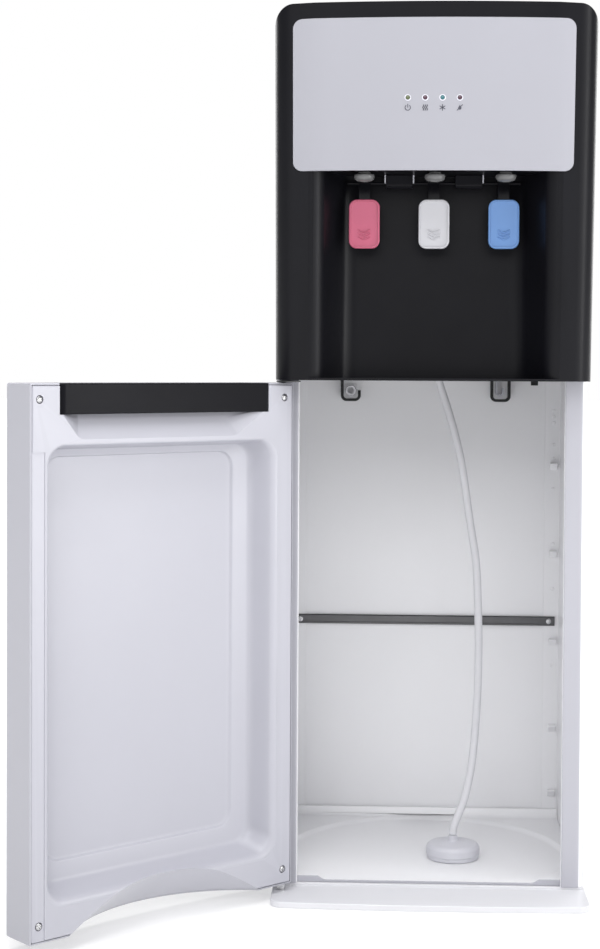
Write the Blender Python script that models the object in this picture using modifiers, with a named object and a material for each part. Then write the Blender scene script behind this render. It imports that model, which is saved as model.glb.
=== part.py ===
"""Floor-standing water dispenser with the bottle in a lower compartment.

A white steel cabinet stands on a thin base plate.  A black fascia with a
white indicator panel, three nozzles and three paddle levers forms the head.
The hinged door below it stands open and shows the bottle compartment with
its suction hose and cap.  Metres, +Z up, the front faces -Y, and the origin
is the middle of the base plate's underside.
"""
import math

import bmesh
import bpy
from mathutils import Matrix, Vector

# ---- driving dimensions ----------------------------------------------------
GAP = 0.0003                   # clearance between neighbouring pieces
SHEET = 0.0015                 # sheet steel of the cabinet

CAB_HALF = 0.165               # half width of the cabinet
FRAME_Y = -0.110               # front plane of the cabinet's front flanges
REAR_Y = 0.164                 # front plane of the rear flanges
CAB_BOTTOM = 0.0095            # lower edge of the side panels
CAB_TOP = 0.928                # upper edge of the side panels
OPENING_HALF = 0.141           # half width of the compartment's mouth
REAR_OPENING_HALF = 0.145      # half width between the rear flanges
CORNER_R = 0.008               # outer corner of the side panels
FLANGE_RETURN = 0.006          # how far the front flange folds back
DECK_Z = 0.560                 # underside of the deck above the bottle
DECK_FRONT = FRAME_Y + 0.020

BASE_HALF = 0.167
BASE_FRONT = -0.1735
BASE_REAR = 0.1735
BASE_BOW = 0.004               # how far the front edge bulges
BASE_EDGE = 0.0065             # thickness of the base at its edge
BASE_STEP = 0.0092             # top of the raised middle of the base
BASE_CORNER_R = 0.013

PAN_TOP = 0.0160
DISH_FLOOR = 0.0120
DISH_RADIUS = 0.158
DISH_Y = 0.002
PAN_LIP_TOP = 0.0265

BAR_HALF = 0.1585
BAR_Z = (0.2508, 0.2622)
BAR_SCREW_X = 0.151

FASCIA_BOTTOM = 0.5505
FASCIA_TOP = 0.932
FASCIA_WALL = 0.003
FASCIA_FRONT = FRAME_Y - 0.058  # most forward point at the lower edge
FASCIA_LEAN = 0.105            # forward travel for each unit of height
FASCIA_BOW = 0.012             # front bulge from the middle to the corners
FASCIA_CORNER_R = 0.025        # front corners, seen from above
FASCIA_TOP_R = 0.020           # top corners, seen from the front

ALCOVE_HALF = 0.1275
ALCOVE_REAR_HALF = 0.0925
ALCOVE_MOUTH_Y = FRAME_Y - 0.062   # where the side walls start to slant inwards
ALCOVE_BACK = FRAME_Y - 0.005
ALCOVE_TOP = 0.766
ALCOVE_FLOOR = 0.553
ALCOVE_CORNER_R = 0.025
ALCOVE_WALL = 0.003

PANEL_X = -0.0026              # the panel's middle
PANEL_HALF = 0.143
PANEL_Z = (0.7645, 0.916)
PANEL_CORNER_R = 0.0095
PANEL_PROUD = 0.0015           # how far the panel stands out of the fascia
PANEL_POCKET = 0.0022          # how deep its pocket in the fascia is

INDICATOR_Z = 0.8368
INDICATOR_PITCH = 0.0175
INDICATOR_R = 0.0025
INDICATOR_NAMES = ("power", "hot", "cold", "no_water")

TAP_NAMES = ("hot", "room", "cold")
TAP_PITCH = 0.0727
NOZZLE_Y = FRAME_Y - 0.055
NOZZLE_Z = (0.7562, 0.764)
SHAFT_Y = FRAME_Y - 0.018
SHAFT_Z = 0.7575
SHAFT_R = 0.0015
PADDLE_HALF = 0.0161
PADDLE_Z = (0.6884, 0.7396)
PADDLE_FACE_Y = FRAME_Y - 0.032
PADDLE_THICK = 0.006

SWITCH_Z = 0.605
ROCKER_TILT = 6.0              # degrees that a rocker leans either way

PIVOT = Vector((-0.1575, FRAME_Y - 0.0129, 0.0))   # the door's hinge line
DOOR_OPEN_DEG = 136.4
DOOR_WIDTH = 0.326
DOOR_EDGE = 0.0055             # from the hinge line to the door's edge
DOOR_FACE = 0.0109             # from the hinge line to the inner face
DOOR_SIDE = 0.047              # thickness at the door's sides
DOOR_MIDDLE = 0.058            # thickness in the middle
DOOR_Z = (0.0145, 0.5475)
DOOR_CORNER_R = 0.008
SKIN = 0.0018
RECESS_U = (0.026, 0.306)
RECESS_Z = (0.0495, 0.488)
RECESS_FLOOR_U = (0.065, 0.290)
RECESS_FLOOR_Z = (0.085, 0.475)
RECESS_DEPTH = 0.030
HANDLE_U = (0.035, 0.293)
HANDLE_Z = (0.5175, 0.5472)
HANDLE_DEPTH = 0.040
GRIP_U = (0.090, 0.236)
GRIP_Z = (0.524, 0.541)
ARCH_RADIUS = 0.1645           # foot scoop in the door's lower edge
ARCH_DEPTH = 0.052
ARCH_HEIGHT = 0.046
SCREW_U = (0.013, 0.3155)
SCREW_Z = (0.0315, 0.532)

HOSE_R = 0.0045
HOSE_TILT = 0.335              # sideways travel per unit of drop at the deck
CAP_RADIUS = 0.030
CAP_HEIGHT = 0.0175
CAP_X = 0.0300
CAP_Y = -0.0080
# Route of the hose from the deck down to the cap, picked by eye.
HOSE_ROUTE = (
    (0.0105, 0.030, 0.5520),
    (0.0130, 0.030, 0.5446),
    (0.0218, 0.030, 0.5180),
    (0.0300, 0.030, 0.4898),
    (0.0387, 0.029, 0.4522),
    (0.0475, 0.027, 0.3929),
    (0.0553, 0.025, 0.3428),
    (0.0578, 0.022, 0.2928),
    (0.0587, 0.018, 0.2419),
    (0.0571, 0.013, 0.1845),
    (0.0520, 0.006, 0.1219),
    (0.0440, -0.002, 0.0815),
    (0.0355, -0.0065, 0.0590),
    (0.0304, -0.0079, 0.0460),
    (0.0300, -0.0080, 0.0386),
)

# ---- colours: name, base colour, roughness, metallic -----------------------
PALETTE = {
    "white_steel": ((0.72, 0.72, 0.78, 1.0), 0.35, 0.0),
    "white_plastic": ((0.64, 0.64, 0.70, 1.0), 0.35, 0.0),
    "black_plastic": ((0.016, 0.016, 0.020, 1.0), 0.22, 0.0),
    "black_rubber": ((0.020, 0.020, 0.020, 1.0), 0.70, 0.0),
    "galvanised": ((0.36, 0.36, 0.37, 1.0), 0.40, 0.9),
    "steel": ((0.55, 0.55, 0.56, 1.0), 0.30, 1.0),
    "clear_grey": ((0.27, 0.27, 0.28, 1.0), 0.25, 0.0),
    "red_plastic": ((0.56, 0.15, 0.22, 1.0), 0.35, 0.0),
    "blue_plastic": ((0.18, 0.34, 0.64, 1.0), 0.35, 0.0),
    "green_plastic": ((0.10, 0.40, 0.16, 1.0), 0.35, 0.0),
    "lens": ((0.10, 0.16, 0.14, 1.0), 0.20, 0.0),
    "foam": ((0.62, 0.58, 0.48, 1.0), 0.85, 0.0),
    "hose": ((0.60, 0.60, 0.63, 1.0), 0.40, 0.0),
}


# ---- helpers ---------------------------------------------------------------
def clear_scene():
    for item in list(bpy.data.objects):
        bpy.data.objects.remove(item, do_unlink=True)


def new_collection(name):
    collection = bpy.data.collections.new(name)
    bpy.context.scene.collection.children.link(collection)
    return collection


def make_materials():
    made = {}
    for name, (colour, roughness, metallic) in PALETTE.items():
        material = bpy.data.materials.new(name)
        material.use_nodes = True
        shader = material.node_tree.nodes["Principled BSDF"]
        shader.inputs["Base Color"].default_value = colour
        shader.inputs["Roughness"].default_value = roughness
        shader.inputs["Metallic"].default_value = metallic
        made[name] = material
    return made


clear_scene()
PARTS = new_collection("water_dispenser")
CUTTERS = new_collection("cutters")
MATERIALS = make_materials()


def add_object(name, mesh, material=None, collection=None):
    item = bpy.data.objects.new(name, mesh)
    if material:
        mesh.materials.append(MATERIALS[material])
    (collection or PARTS).objects.link(item)
    return item


def as_cutter(item):
    for collection in list(item.users_collection):
        collection.objects.unlink(item)
    CUTTERS.objects.link(item)
    item.hide_render = True
    item.display_type = "WIRE"
    return item


def bevel(item, width, segments=2, angle=35.0):
    rounding = item.modifiers.new("rounding", "BEVEL")
    rounding.width = width
    rounding.segments = segments
    rounding.limit_method = "ANGLE"
    rounding.angle_limit = math.radians(angle)
    return item


def boolean(item, other, operation="DIFFERENCE"):
    step = item.modifiers.new(operation.lower(), "BOOLEAN")
    step.operation = operation
    step.solver = "EXACT"
    step.object = as_cutter(other)
    return item


def smooth(item, angle=35.0):
    item.data.shade_smooth()
    item.data.set_sharp_from_angle(angle=math.radians(angle))
    return item


def box(name, low, high, material=None, rounding=0.0, segments=2):
    low, high = Vector(low), Vector(high)
    work = bmesh.new()
    bmesh.ops.create_cube(work, size=1.0)
    size = high - low
    bmesh.ops.scale(work, vec=size, verts=work.verts)
    mesh = bpy.data.meshes.new(name)
    work.to_mesh(mesh)
    work.free()
    item = add_object(name, mesh, material)
    item.location = (low + high) / 2
    if rounding:
        bevel(item, rounding, segments)
    return item


def arc(centre, radius, start, end, count):
    """Points on an arc, angles in degrees."""
    points = []
    for i in range(count + 1):
        angle = math.radians(start + (end - start) * i / count)
        points.append((centre[0] + radius * math.cos(angle),
                       centre[1] + radius * math.sin(angle)))
    return points


def rounded_rectangle(low, high, radius, count=6):
    points = []
    corners = (
        ((high[0] - radius, high[1] - radius), 0),
        ((low[0] + radius, high[1] - radius), 90),
        ((low[0] + radius, low[1] + radius), 180),
        ((high[0] - radius, low[1] + radius), 270),
    )
    for centre, start in corners:
        points += arc(centre, radius, start, start + 90, count)
    return points


def weld(mesh, distance=0.00001):
    work = bmesh.new()
    work.from_mesh(mesh)
    bmesh.ops.remove_doubles(work, verts=work.verts, dist=distance)
    bmesh.ops.recalc_face_normals(work, faces=work.faces)
    work.to_mesh(mesh)
    work.free()


def curve_to_mesh(curve_item, name, material):
    """Turn a curve object into a welded mesh object in the same place."""
    bpy.context.view_layer.update()
    graph = bpy.context.evaluated_depsgraph_get()
    mesh = bpy.data.meshes.new_from_object(curve_item.evaluated_get(graph))
    mesh.name = name
    mesh.materials.clear()
    weld(mesh)
    item = add_object(name, mesh, material)
    item.matrix_world = curve_item.matrix_world
    bpy.data.objects.remove(curve_item, do_unlink=True)
    return item


def plate(name, outline, low, high, material=None):
    """A flat outline in X and Y with its thickness from low to high in Z."""
    curve = bpy.data.curves.new(name + "_outline", "CURVE")
    curve.dimensions = "2D"
    curve.fill_mode = "BOTH"
    curve.extrude = (high - low) / 2
    spline = curve.splines.new("POLY")
    spline.points.add(len(outline) - 1)
    for point, (x, y) in zip(spline.points, outline):
        point.co = (x, y, 0.0, 1.0)
    spline.use_cyclic_u = True
    curve_item = bpy.data.objects.new(name + "_outline", curve)
    bpy.context.scene.collection.objects.link(curve_item)
    item = curve_to_mesh(curve_item, name, material)
    item.data.transform(Matrix.Translation((0.0, 0.0, (low + high) / 2)))
    return item


def front_plate(name, outline, near, far, material=None):
    """An outline in X and Z with its thickness from near to far in Y."""
    item = plate(name, outline, -far, -near, material)
    item.data.transform(Matrix.Rotation(math.pi / 2, 4, "X"))
    return item


def side_plate(name, outline, low, high, material=None):
    """An outline in Y and Z with its thickness from low to high in X."""
    item = plate(name, outline, low, high, material)
    turn = Matrix(((0, 0, 1, 0), (1, 0, 0, 0), (0, 1, 0, 0), (0, 0, 0, 1)))
    item.data.transform(turn)
    return item


# Rotation that points a turned piece's top up, to the front, rear or side.
TURNS = {
    "up": (0.0, 0.0, 0.0),
    "front": (math.pi / 2, 0.0, 0.0),
    "rear": (-math.pi / 2, 0.0, 0.0),
    "side": (0.0, math.pi / 2, 0.0),
}


def turned(name, profile, steps, location, material=None, axis="up", pivot=None):
    """A profile of radius and height turned about an axis through location.

    The profile runs from the axis at the top to the axis at the bottom.
    """
    mesh = bpy.data.meshes.new(name)
    points = [(radius, 0.0, height) for radius, height in profile]
    edges = [(i, i + 1) for i in range(len(points) - 1)]
    mesh.from_pydata(points, edges, [])
    item = add_object(name, mesh, material)
    screw = item.modifiers.new("turn", "SCREW")
    screw.steps = steps
    screw.render_steps = steps
    screw.use_merge_vertices = True
    screw.merge_threshold = 0.00005
    screw.use_smooth_shade = True
    item.location = location
    item.rotation_euler = TURNS[axis]
    if pivot:
        item.parent = pivot
    return item


def disc(radius, top, bottom):
    """Profile of a plain cylinder."""
    return ((0.0, top), (radius, top), (radius, bottom), (0.0, bottom))


def smooth_route(points, count):
    """Even points on a Catmull-Rom curve through the given points."""
    pads = [Vector(points[0]) * 2 - Vector(points[1])]
    pads += [Vector(point) for point in points]
    pads.append(Vector(points[-1]) * 2 - Vector(points[-2]))
    dense = []
    for i in range(1, len(pads) - 2):
        before, start, end, after = pads[i - 1:i + 3]
        for j in range(12):
            t = j / 12
            dense.append(0.5 * (2 * start + (end - before) * t
                                + (2 * before - 5 * start + 4 * end - after) * t ** 2
                                + (3 * start - before - 3 * end + after) * t ** 3))
    dense.append(pads[-2])
    lengths = [0.0]
    for first, second in zip(dense, dense[1:]):
        lengths.append(lengths[-1] + (second - first).length)
    result = []
    place = 0
    for i in range(count):
        target = lengths[-1] * i / (count - 1)
        while place < len(lengths) - 2 and lengths[place + 1] < target:
            place += 1
        share = (target - lengths[place]) / (lengths[place + 1] - lengths[place])
        result.append(dense[place].lerp(dense[place + 1], min(max(share, 0.0), 1.0)))
    return result


def tube(name, points, radius, material, resolution=2):
    curve = bpy.data.curves.new(name + "_path", "CURVE")
    curve.dimensions = "3D"
    curve.bevel_depth = radius
    curve.bevel_resolution = resolution
    curve.use_fill_caps = True
    spline = curve.splines.new("POLY")
    spline.points.add(len(points) - 1)
    for point, place in zip(spline.points, points):
        point.co = (place[0], place[1], place[2], 1.0)
    curve_item = bpy.data.objects.new(name + "_path", curve)
    bpy.context.scene.collection.objects.link(curve_item)
    return smooth(curve_to_mesh(curve_item, name, material), 50.0)


def mirrored_outline(outline):
    return [(-x, y) for x, y in reversed(outline)]


# ---- cabinet ---------------------------------------------------------------
def base_outline():
    """Front edge with a slight bow, rounded front corners, square rear."""
    points = [(BASE_HALF, BASE_REAR), (-BASE_HALF, BASE_REAR)]
    corner_y = BASE_FRONT + BASE_BOW + BASE_CORNER_R
    left = (-BASE_HALF + BASE_CORNER_R, corner_y)
    points += arc(left, BASE_CORNER_R, 180, 265, 6)
    for i in range(1, 12):
        x = (-1 + i / 6) * (BASE_HALF - BASE_CORNER_R)
        points.append((x, BASE_FRONT + BASE_BOW * (x / (BASE_HALF - BASE_CORNER_R)) ** 2))
    right = (BASE_HALF - BASE_CORNER_R, corner_y)
    points += arc(right, BASE_CORNER_R, 275, 360, 6)
    return points


def make_base():
    base = plate("base_plate", base_outline(), 0.0, BASE_EDGE, "white_steel")
    step = box("base_step", (-CAB_HALF + GAP, FRAME_Y + 0.002, BASE_EDGE / 2),
               (CAB_HALF - GAP, BASE_REAR - 0.006, BASE_STEP))
    boolean(base, step, "UNION")


def make_floor_pan():
    half = CAB_HALF - SHEET - GAP
    front = FRAME_Y + FLANGE_RETURN + GAP
    pan = box("floor_pan", (-half, front, CAB_BOTTOM), (half, REAR_Y - GAP, PAN_LIP_TOP),
              "white_steel")
    hollow = box("pan_hollow", (-half - 0.01, front - 0.01, PAN_TOP),
                 (half + 0.01, REAR_Y - 0.006, PAN_LIP_TOP + 0.01))
    boolean(pan, hollow)
    profile = ((0.0, PAN_TOP + 0.002), (DISH_RADIUS + 0.003, PAN_TOP + 0.002),
               (DISH_RADIUS - 0.004, DISH_FLOOR), (0.0, DISH_FLOOR))
    dish = turned("pan_dish", profile, 64, (0.0, DISH_Y, 0.0))
    boolean(pan, dish)


def side_panel_outline():
    """Right-hand C section: front flange with a return, wall, rear flange."""
    inner_r = CORNER_R - SHEET
    centre = (CAB_HALF - CORNER_R, FRAME_Y + CORNER_R)
    rear = REAR_Y + SHEET
    points = [(OPENING_HALF, FRAME_Y + FLANGE_RETURN), (OPENING_HALF, FRAME_Y + 0.001),
              (OPENING_HALF + 0.001, FRAME_Y)]
    points += arc(centre, CORNER_R, 270, 360, 6)
    points += [(CAB_HALF, rear), (REAR_OPENING_HALF, rear), (REAR_OPENING_HALF, REAR_Y),
               (CAB_HALF - SHEET, REAR_Y)]
    points += arc(centre, inner_r, 360, 270, 6)
    points += [(OPENING_HALF + SHEET, FRAME_Y + SHEET),
               (OPENING_HALF + SHEET, FRAME_Y + FLANGE_RETURN)]
    return points


def make_side_panels():
    right = side_panel_outline()
    smooth(plate("side_panel_right", right, CAB_BOTTOM, CAB_TOP, "white_steel"))
    smooth(plate("side_panel_left", mirrored_outline(right), CAB_BOTTOM, CAB_TOP,
                 "white_steel"))


def make_back():
    front = REAR_Y + SHEET + GAP
    half = CAB_HALF - 0.0015
    box("back_wall", (-half, front, CAB_BOTTOM + GAP), (half, front + 0.0012, DECK_Z - 0.004),
        "white_steel")
    cover = box("rear_cover", (-half, front, DECK_Z), (half, front + SHEET, CAB_TOP),
                "white_steel")
    for row in range(8):
        low = 0.650 + row * 0.018
        slot = box("louvre_%d" % row, (-0.095, front - 0.01, low),
                   (0.095, front + 0.01, low + 0.006))
        boolean(cover, slot)


def screw_head(name, location, axis, radius=0.0035, height=0.0016, pivot=None):
    """A round head with a small driver recess, its face away from the axis."""
    profile = ((0.0, height * 0.55), (radius * 0.28, height * 0.62), (radius * 0.42, height),
               (radius * 0.75, height * 0.9), (radius, height * 0.35), (radius, 0.0),
               (0.0, 0.0))
    return turned(name, profile, 16, location, "steel", axis, pivot)


def make_cross_bar():
    back = REAR_Y - GAP
    front = back - 0.0028
    box("cross_bar", (-BAR_HALF, front, BAR_Z[0]), (BAR_HALF, back, BAR_Z[1]),
        "galvanised", 0.0006, 1)
    height = sum(BAR_Z) / 2
    for side, name in ((-1, "left"), (1, "right")):
        screw_head("cross_bar_screw_" + name, (side * BAR_SCREW_X, front - GAP, height), "front")


def make_deck():
    half = CAB_HALF - SHEET - GAP
    deck = box("deck", (-half, DECK_FRONT, DECK_Z), (half, REAR_Y - GAP, DECK_Z + SHEET),
               "galvanised")
    tilt = HOSE_TILT * (DECK_Z - HOSE_ROUTE[0][2])
    hole = turned("deck_hole", disc(0.0105, DECK_Z + 0.01, DECK_Z - 0.01), 32,
                  (HOSE_ROUTE[0][0] - tilt, HOSE_ROUTE[0][1], 0.0))
    boolean(deck, hole)


def make_top_cover():
    box("top_cover", (-CAB_HALF, FRAME_Y, CAB_TOP + GAP),
        (CAB_HALF, REAR_Y + 0.0035, CAB_TOP + 0.006), "white_plastic", 0.0025, 2)


# ---- head ------------------------------------------------------------------
def fascia_outline(inset, rear):
    """Plan of the head at its lower edge: bowed front and round corners."""
    half = CAB_HALF - inset
    front = FASCIA_FRONT + inset
    radius = FASCIA_CORNER_R - inset
    corner_y = front + FASCIA_BOW + radius
    reach = half - radius * 0.94
    points = [(half, rear), (-half, rear)]
    points += arc((-half + radius, corner_y), radius, 180, 257, 7)
    for i in range(1, 16):
        x = (-1 + i / 8) * reach
        points.append((x, front + FASCIA_BOW * (x / half) ** 2))
    points += arc((half - radius, corner_y), radius, 283, 360, 7)
    return points


def lean(item):
    """Slide each height forward so that the front leans towards the user."""
    slide = Matrix.Identity(4)
    slide[1][2] = -FASCIA_LEAN
    slide[1][3] = FASCIA_LEAN * FASCIA_BOTTOM
    item.data.transform(slide)
    return item


def round_corner(before, corner, after, radius, count):
    """Points of the arc that rounds the corner between two straight runs."""
    corner = Vector(corner)
    back = (Vector(before) - corner).normalized()
    ahead = (Vector(after) - corner).normalized()
    half = back.angle(ahead) / 2
    centre = corner + (back + ahead).normalized() * radius / math.sin(half)
    first = corner + back * radius / math.tan(half) - centre
    last = corner + ahead * radius / math.tan(half) - centre
    turn = first.angle_signed(last)
    points = []
    for i in range(count + 1):
        spun = Matrix.Rotation(-turn * i / count, 2) @ first
        points.append(tuple(centre + spun))
    return points


def alcove_outline(grow):
    """Plan of the alcove: straight mouth, slanted sides and round back corners."""
    mouth = (ALCOVE_HALF + grow, ALCOVE_MOUTH_Y)
    rear = (ALCOVE_REAR_HALF + grow, ALCOVE_BACK + grow)
    side = [(mouth[0], -0.30), mouth]
    side += round_corner(mouth, rear, (0.0, rear[1]), ALCOVE_CORNER_R, 8)
    return side + mirrored_outline(side)


def fascia_body(name, inset, low, high, material=None):
    return lean(plate(name, fascia_outline(inset, -0.02), low, high, material))


def make_fascia():
    fascia = fascia_body("fascia", 0.0, FASCIA_BOTTOM, FASCIA_TOP + 0.01, "black_plastic")
    trim = rounded_rectangle((-CAB_HALF, FASCIA_BOTTOM - 0.1), (CAB_HALF, FASCIA_TOP),
                             FASCIA_TOP_R)
    boolean(fascia, front_plate("fascia_trim", trim, -0.30, FRAME_Y - GAP), "INTERSECT")
    hollow = fascia_body("fascia_hollow", FASCIA_WALL, FASCIA_BOTTOM + FASCIA_WALL,
                         FASCIA_TOP + 0.01)
    inner = rounded_rectangle((-CAB_HALF, FASCIA_BOTTOM - 0.1),
                              (CAB_HALF, FASCIA_TOP - FASCIA_WALL), FASCIA_TOP_R)
    boolean(hollow, front_plate("hollow_trim", inner, -0.30, -0.03), "INTERSECT")
    walls = plate("alcove_walls", alcove_outline(ALCOVE_WALL), FASCIA_BOTTOM - 0.01,
                  ALCOVE_TOP + ALCOVE_WALL)
    boolean(hollow, walls)
    boolean(fascia, hollow)
    boolean(fascia, plate("alcove", alcove_outline(0.0), ALCOVE_FLOOR, ALCOVE_TOP))
    pocket = panel_solid("panel_pocket", GAP, PANEL_POCKET + GAP, 0.02)
    boolean(fascia, pocket)
    for i, x in enumerate(indicator_places()):
        boolean(fascia, indicator_hole("fascia_hole_%d" % i, x))
    return fascia


def panel_solid(name, grow, depth, proud):
    """The slab between two leaning bowed surfaces inside the panel's outline."""
    item = fascia_body(name, -proud, PANEL_Z[0] - 0.03, PANEL_Z[1] + 0.03)
    low = (PANEL_X - PANEL_HALF - grow, PANEL_Z[0] - grow)
    high = (PANEL_X + PANEL_HALF + grow, PANEL_Z[1] + grow)
    edge = rounded_rectangle(low, high, PANEL_CORNER_R + grow)
    boolean(item, front_plate(name + "_edge", edge, -0.30, -0.13), "INTERSECT")
    core = fascia_body(name + "_core", depth, PANEL_Z[0] - 0.04, PANEL_Z[1] + 0.04)
    boolean(item, core)
    return item


def indicator_places():
    first = PANEL_X - 1.5 * INDICATOR_PITCH
    return [first + i * INDICATOR_PITCH for i in range(len(INDICATOR_NAMES))]


def front_at(x, z):
    """Y of the fascia's front surface."""
    bow = FASCIA_BOW * (x / CAB_HALF) ** 2
    return FASCIA_FRONT + bow - FASCIA_LEAN * (z - FASCIA_BOTTOM)


def indicator_hole(name, x):
    y = front_at(x, INDICATOR_Z)
    return turned(name, disc(INDICATOR_R + GAP, 0.02, -0.02), 20, (x, y, INDICATOR_Z), axis="front")


def make_panel():
    panel = panel_solid("display_panel", 0.0, PANEL_POCKET, PANEL_PROUD)
    panel.data.materials.append(MATERIALS["white_plastic"])
    for i, x in enumerate(indicator_places()):
        boolean(panel, indicator_hole("panel_hole_%d" % i, x))
    for name, x in zip(INDICATOR_NAMES, indicator_places()):
        y = front_at(x, INDICATOR_Z) - PANEL_PROUD
        profile = ((0.0, 0.0006), (INDICATOR_R * 0.7, 0.0003), (INDICATOR_R, -0.0003),
                   (INDICATOR_R, -0.008), (0.0, -0.008))
        turned("indicator_" + name, profile, 20, (x, y, INDICATOR_Z), "lens", "front")


def tap_places():
    return [(name, (i - 1) * TAP_PITCH) for i, name in enumerate(TAP_NAMES)]


def make_nozzles():
    profile = ((0.0, 0.0100), (0.0064, 0.0100), (0.0064, 0.0076), (0.0104, 0.0072),
               (0.0107, 0.0056), (0.0103, 0.0030), (0.0084, 0.0006), (0.0060, 0.0),
               (0.0038, 0.0), (0.0030, 0.0015), (0.0, 0.0015))
    for name, x in tap_places():
        low = NOZZLE_Z[0] - 0.0006
        turned("nozzle_" + name, profile, 28, (x, NOZZLE_Y, low), "clear_grey")
        valve = ((0.0, 0.040), (0.006, 0.040), (0.006, 0.032), (0.013, 0.030), (0.013, 0.004),
                 (0.008, 0.0), (0.0, 0.0))
        place = (x, NOZZLE_Y, ALCOVE_TOP + ALCOVE_WALL + GAP)
        turned("tap_valve_" + name, valve, 24, place, "white_plastic")


def lever_empty(name, x):
    empty = bpy.data.objects.new("pivot_" + name, None)
    empty.location = (x, SHAFT_Y, SHAFT_Z)
    PARTS.objects.link(empty)
    return empty


def make_levers():
    hub = 0.0042
    width = PADDLE_HALF
    paddle_back = PADDLE_FACE_Y + PADDLE_THICK - SHAFT_Y
    colours = {"hot": "red_plastic", "room": "white_plastic", "cold": "blue_plastic"}
    for name, x in tap_places():
        empty = lever_empty(name, x)
        foot = PADDLE_Z[0] + 0.012 - SHAFT_Z
        side = [(-hub, -0.002), (paddle_back + GAP, -0.016), (paddle_back + GAP, foot),
                (paddle_back + GAP + 0.003, foot), (paddle_back + GAP + 0.004, -0.016),
                (hub, -0.002)]
        side += arc((0.0, 0.0), hub, 0, 180, 10)
        arm = side_plate("lever_" + name, side, -0.006, 0.006, "black_plastic")
        arm.parent = empty
        bore = turned("bore_" + name, disc(SHAFT_R + GAP, 0.02, -0.02), 20, (0.0, 0.0, 0.0),
                      axis="side")
        bore.parent = empty
        boolean(arm, bore)
        low = (-width, PADDLE_Z[0] - SHAFT_Z)
        high = (width, PADDLE_Z[1] - SHAFT_Z)
        near = PADDLE_FACE_Y - SHAFT_Y
        outline = rounded_rectangle(low, high, 0.0085)
        paddle = front_plate("paddle_" + name, outline, near, paddle_back, colours[name])
        paddle.parent = empty
        rim = 0.0022
        face = rounded_rectangle((low[0] + rim, low[1] + rim), (high[0] - rim, high[1] - rim),
                                 0.0065)
        dent = front_plate("dent_" + name, face, near - 0.01, near + 0.0012)
        dent.parent = empty
        boolean(paddle, dent)


def make_shaft():
    half = TAP_PITCH + 0.018
    turned("lever_shaft", disc(SHAFT_R, half, -half), 16, (0.0, SHAFT_Y, SHAFT_Z), "steel", "side")
    for side, name in ((-1, "left"), (1, "right")):
        middle = side * TAP_PITCH / 2
        drop = 0.0135
        outline = [(-0.0062, 0.0), (-0.0062, -drop + 0.003), (-0.0032, -drop), (0.0032, -drop),
                   (0.0062, -drop + 0.003), (0.0062, 0.0)]
        boss = side_plate("pivot_boss_" + name, outline, middle - 0.0140, middle + 0.0140,
                          "black_plastic")
        boss.location = (0.0, SHAFT_Y, ALCOVE_TOP - GAP)
        bore = turned("boss_bore_" + name, disc(SHAFT_R + GAP, 0.03, -0.03), 16,
                      (middle, SHAFT_Y, SHAFT_Z), axis="side")
        boolean(boss, bore)


# ---- inside the head -------------------------------------------------------
def make_inside():
    floor = DECK_Z + SHEET + GAP
    shell = ((0.0, 0.160), (0.030, 0.158), (0.052, 0.145), (0.060, 0.115), (0.060, 0.060),
             (0.058, 0.020), (0.040, 0.004), (0.030, 0.0), (0.0, 0.0))
    turned("compressor", shell, 32, (0.085, 0.085, floor), "black_plastic")
    tank = ((0.0, 0.140), (0.030, 0.138), (0.048, 0.125), (0.048, 0.015), (0.030, 0.002),
            (0.0, 0.0))
    turned("hot_tank", tank, 32, (-0.095, 0.085, floor), "steel")
    cold = ((0.0, 0.135), (0.060, 0.133), (0.068, 0.120), (0.068, 0.010), (0.060, 0.0),
            (0.0, 0.0))
    turned("cold_tank", cold, 32, (0.0, 0.060, 0.775), "foam")
    pump = ((0.0, 0.075), (0.008, 0.075), (0.010, 0.068), (0.020, 0.064), (0.020, 0.012),
            (0.014, 0.0), (0.0, 0.0))
    turned("pump", pump, 24, (-0.020, -0.040, floor), "black_plastic")


# ---- rear ------------------------------------------------------------------
def condenser_points():
    """A flat serpentine: straight runs joined by round turns."""
    half, pitch, low, runs = 0.115, 0.040, 0.130, 11
    points = []
    for run in range(runs):
        side = 1 if run % 2 == 0 else -1
        height = low + run * pitch
        points.append((-side * half, 0.0, height))
        points.append((side * half, 0.0, height))
        if run < runs - 1:
            for step in range(1, 6):
                angle = math.radians(-90 + 30 * step)
                points.append((side * (half + pitch / 2 * math.cos(angle)), 0.0,
                               height + pitch / 2 + pitch / 2 * math.sin(angle)))
    return [(x, 0.1800, z) for x, _, z in points]


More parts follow.
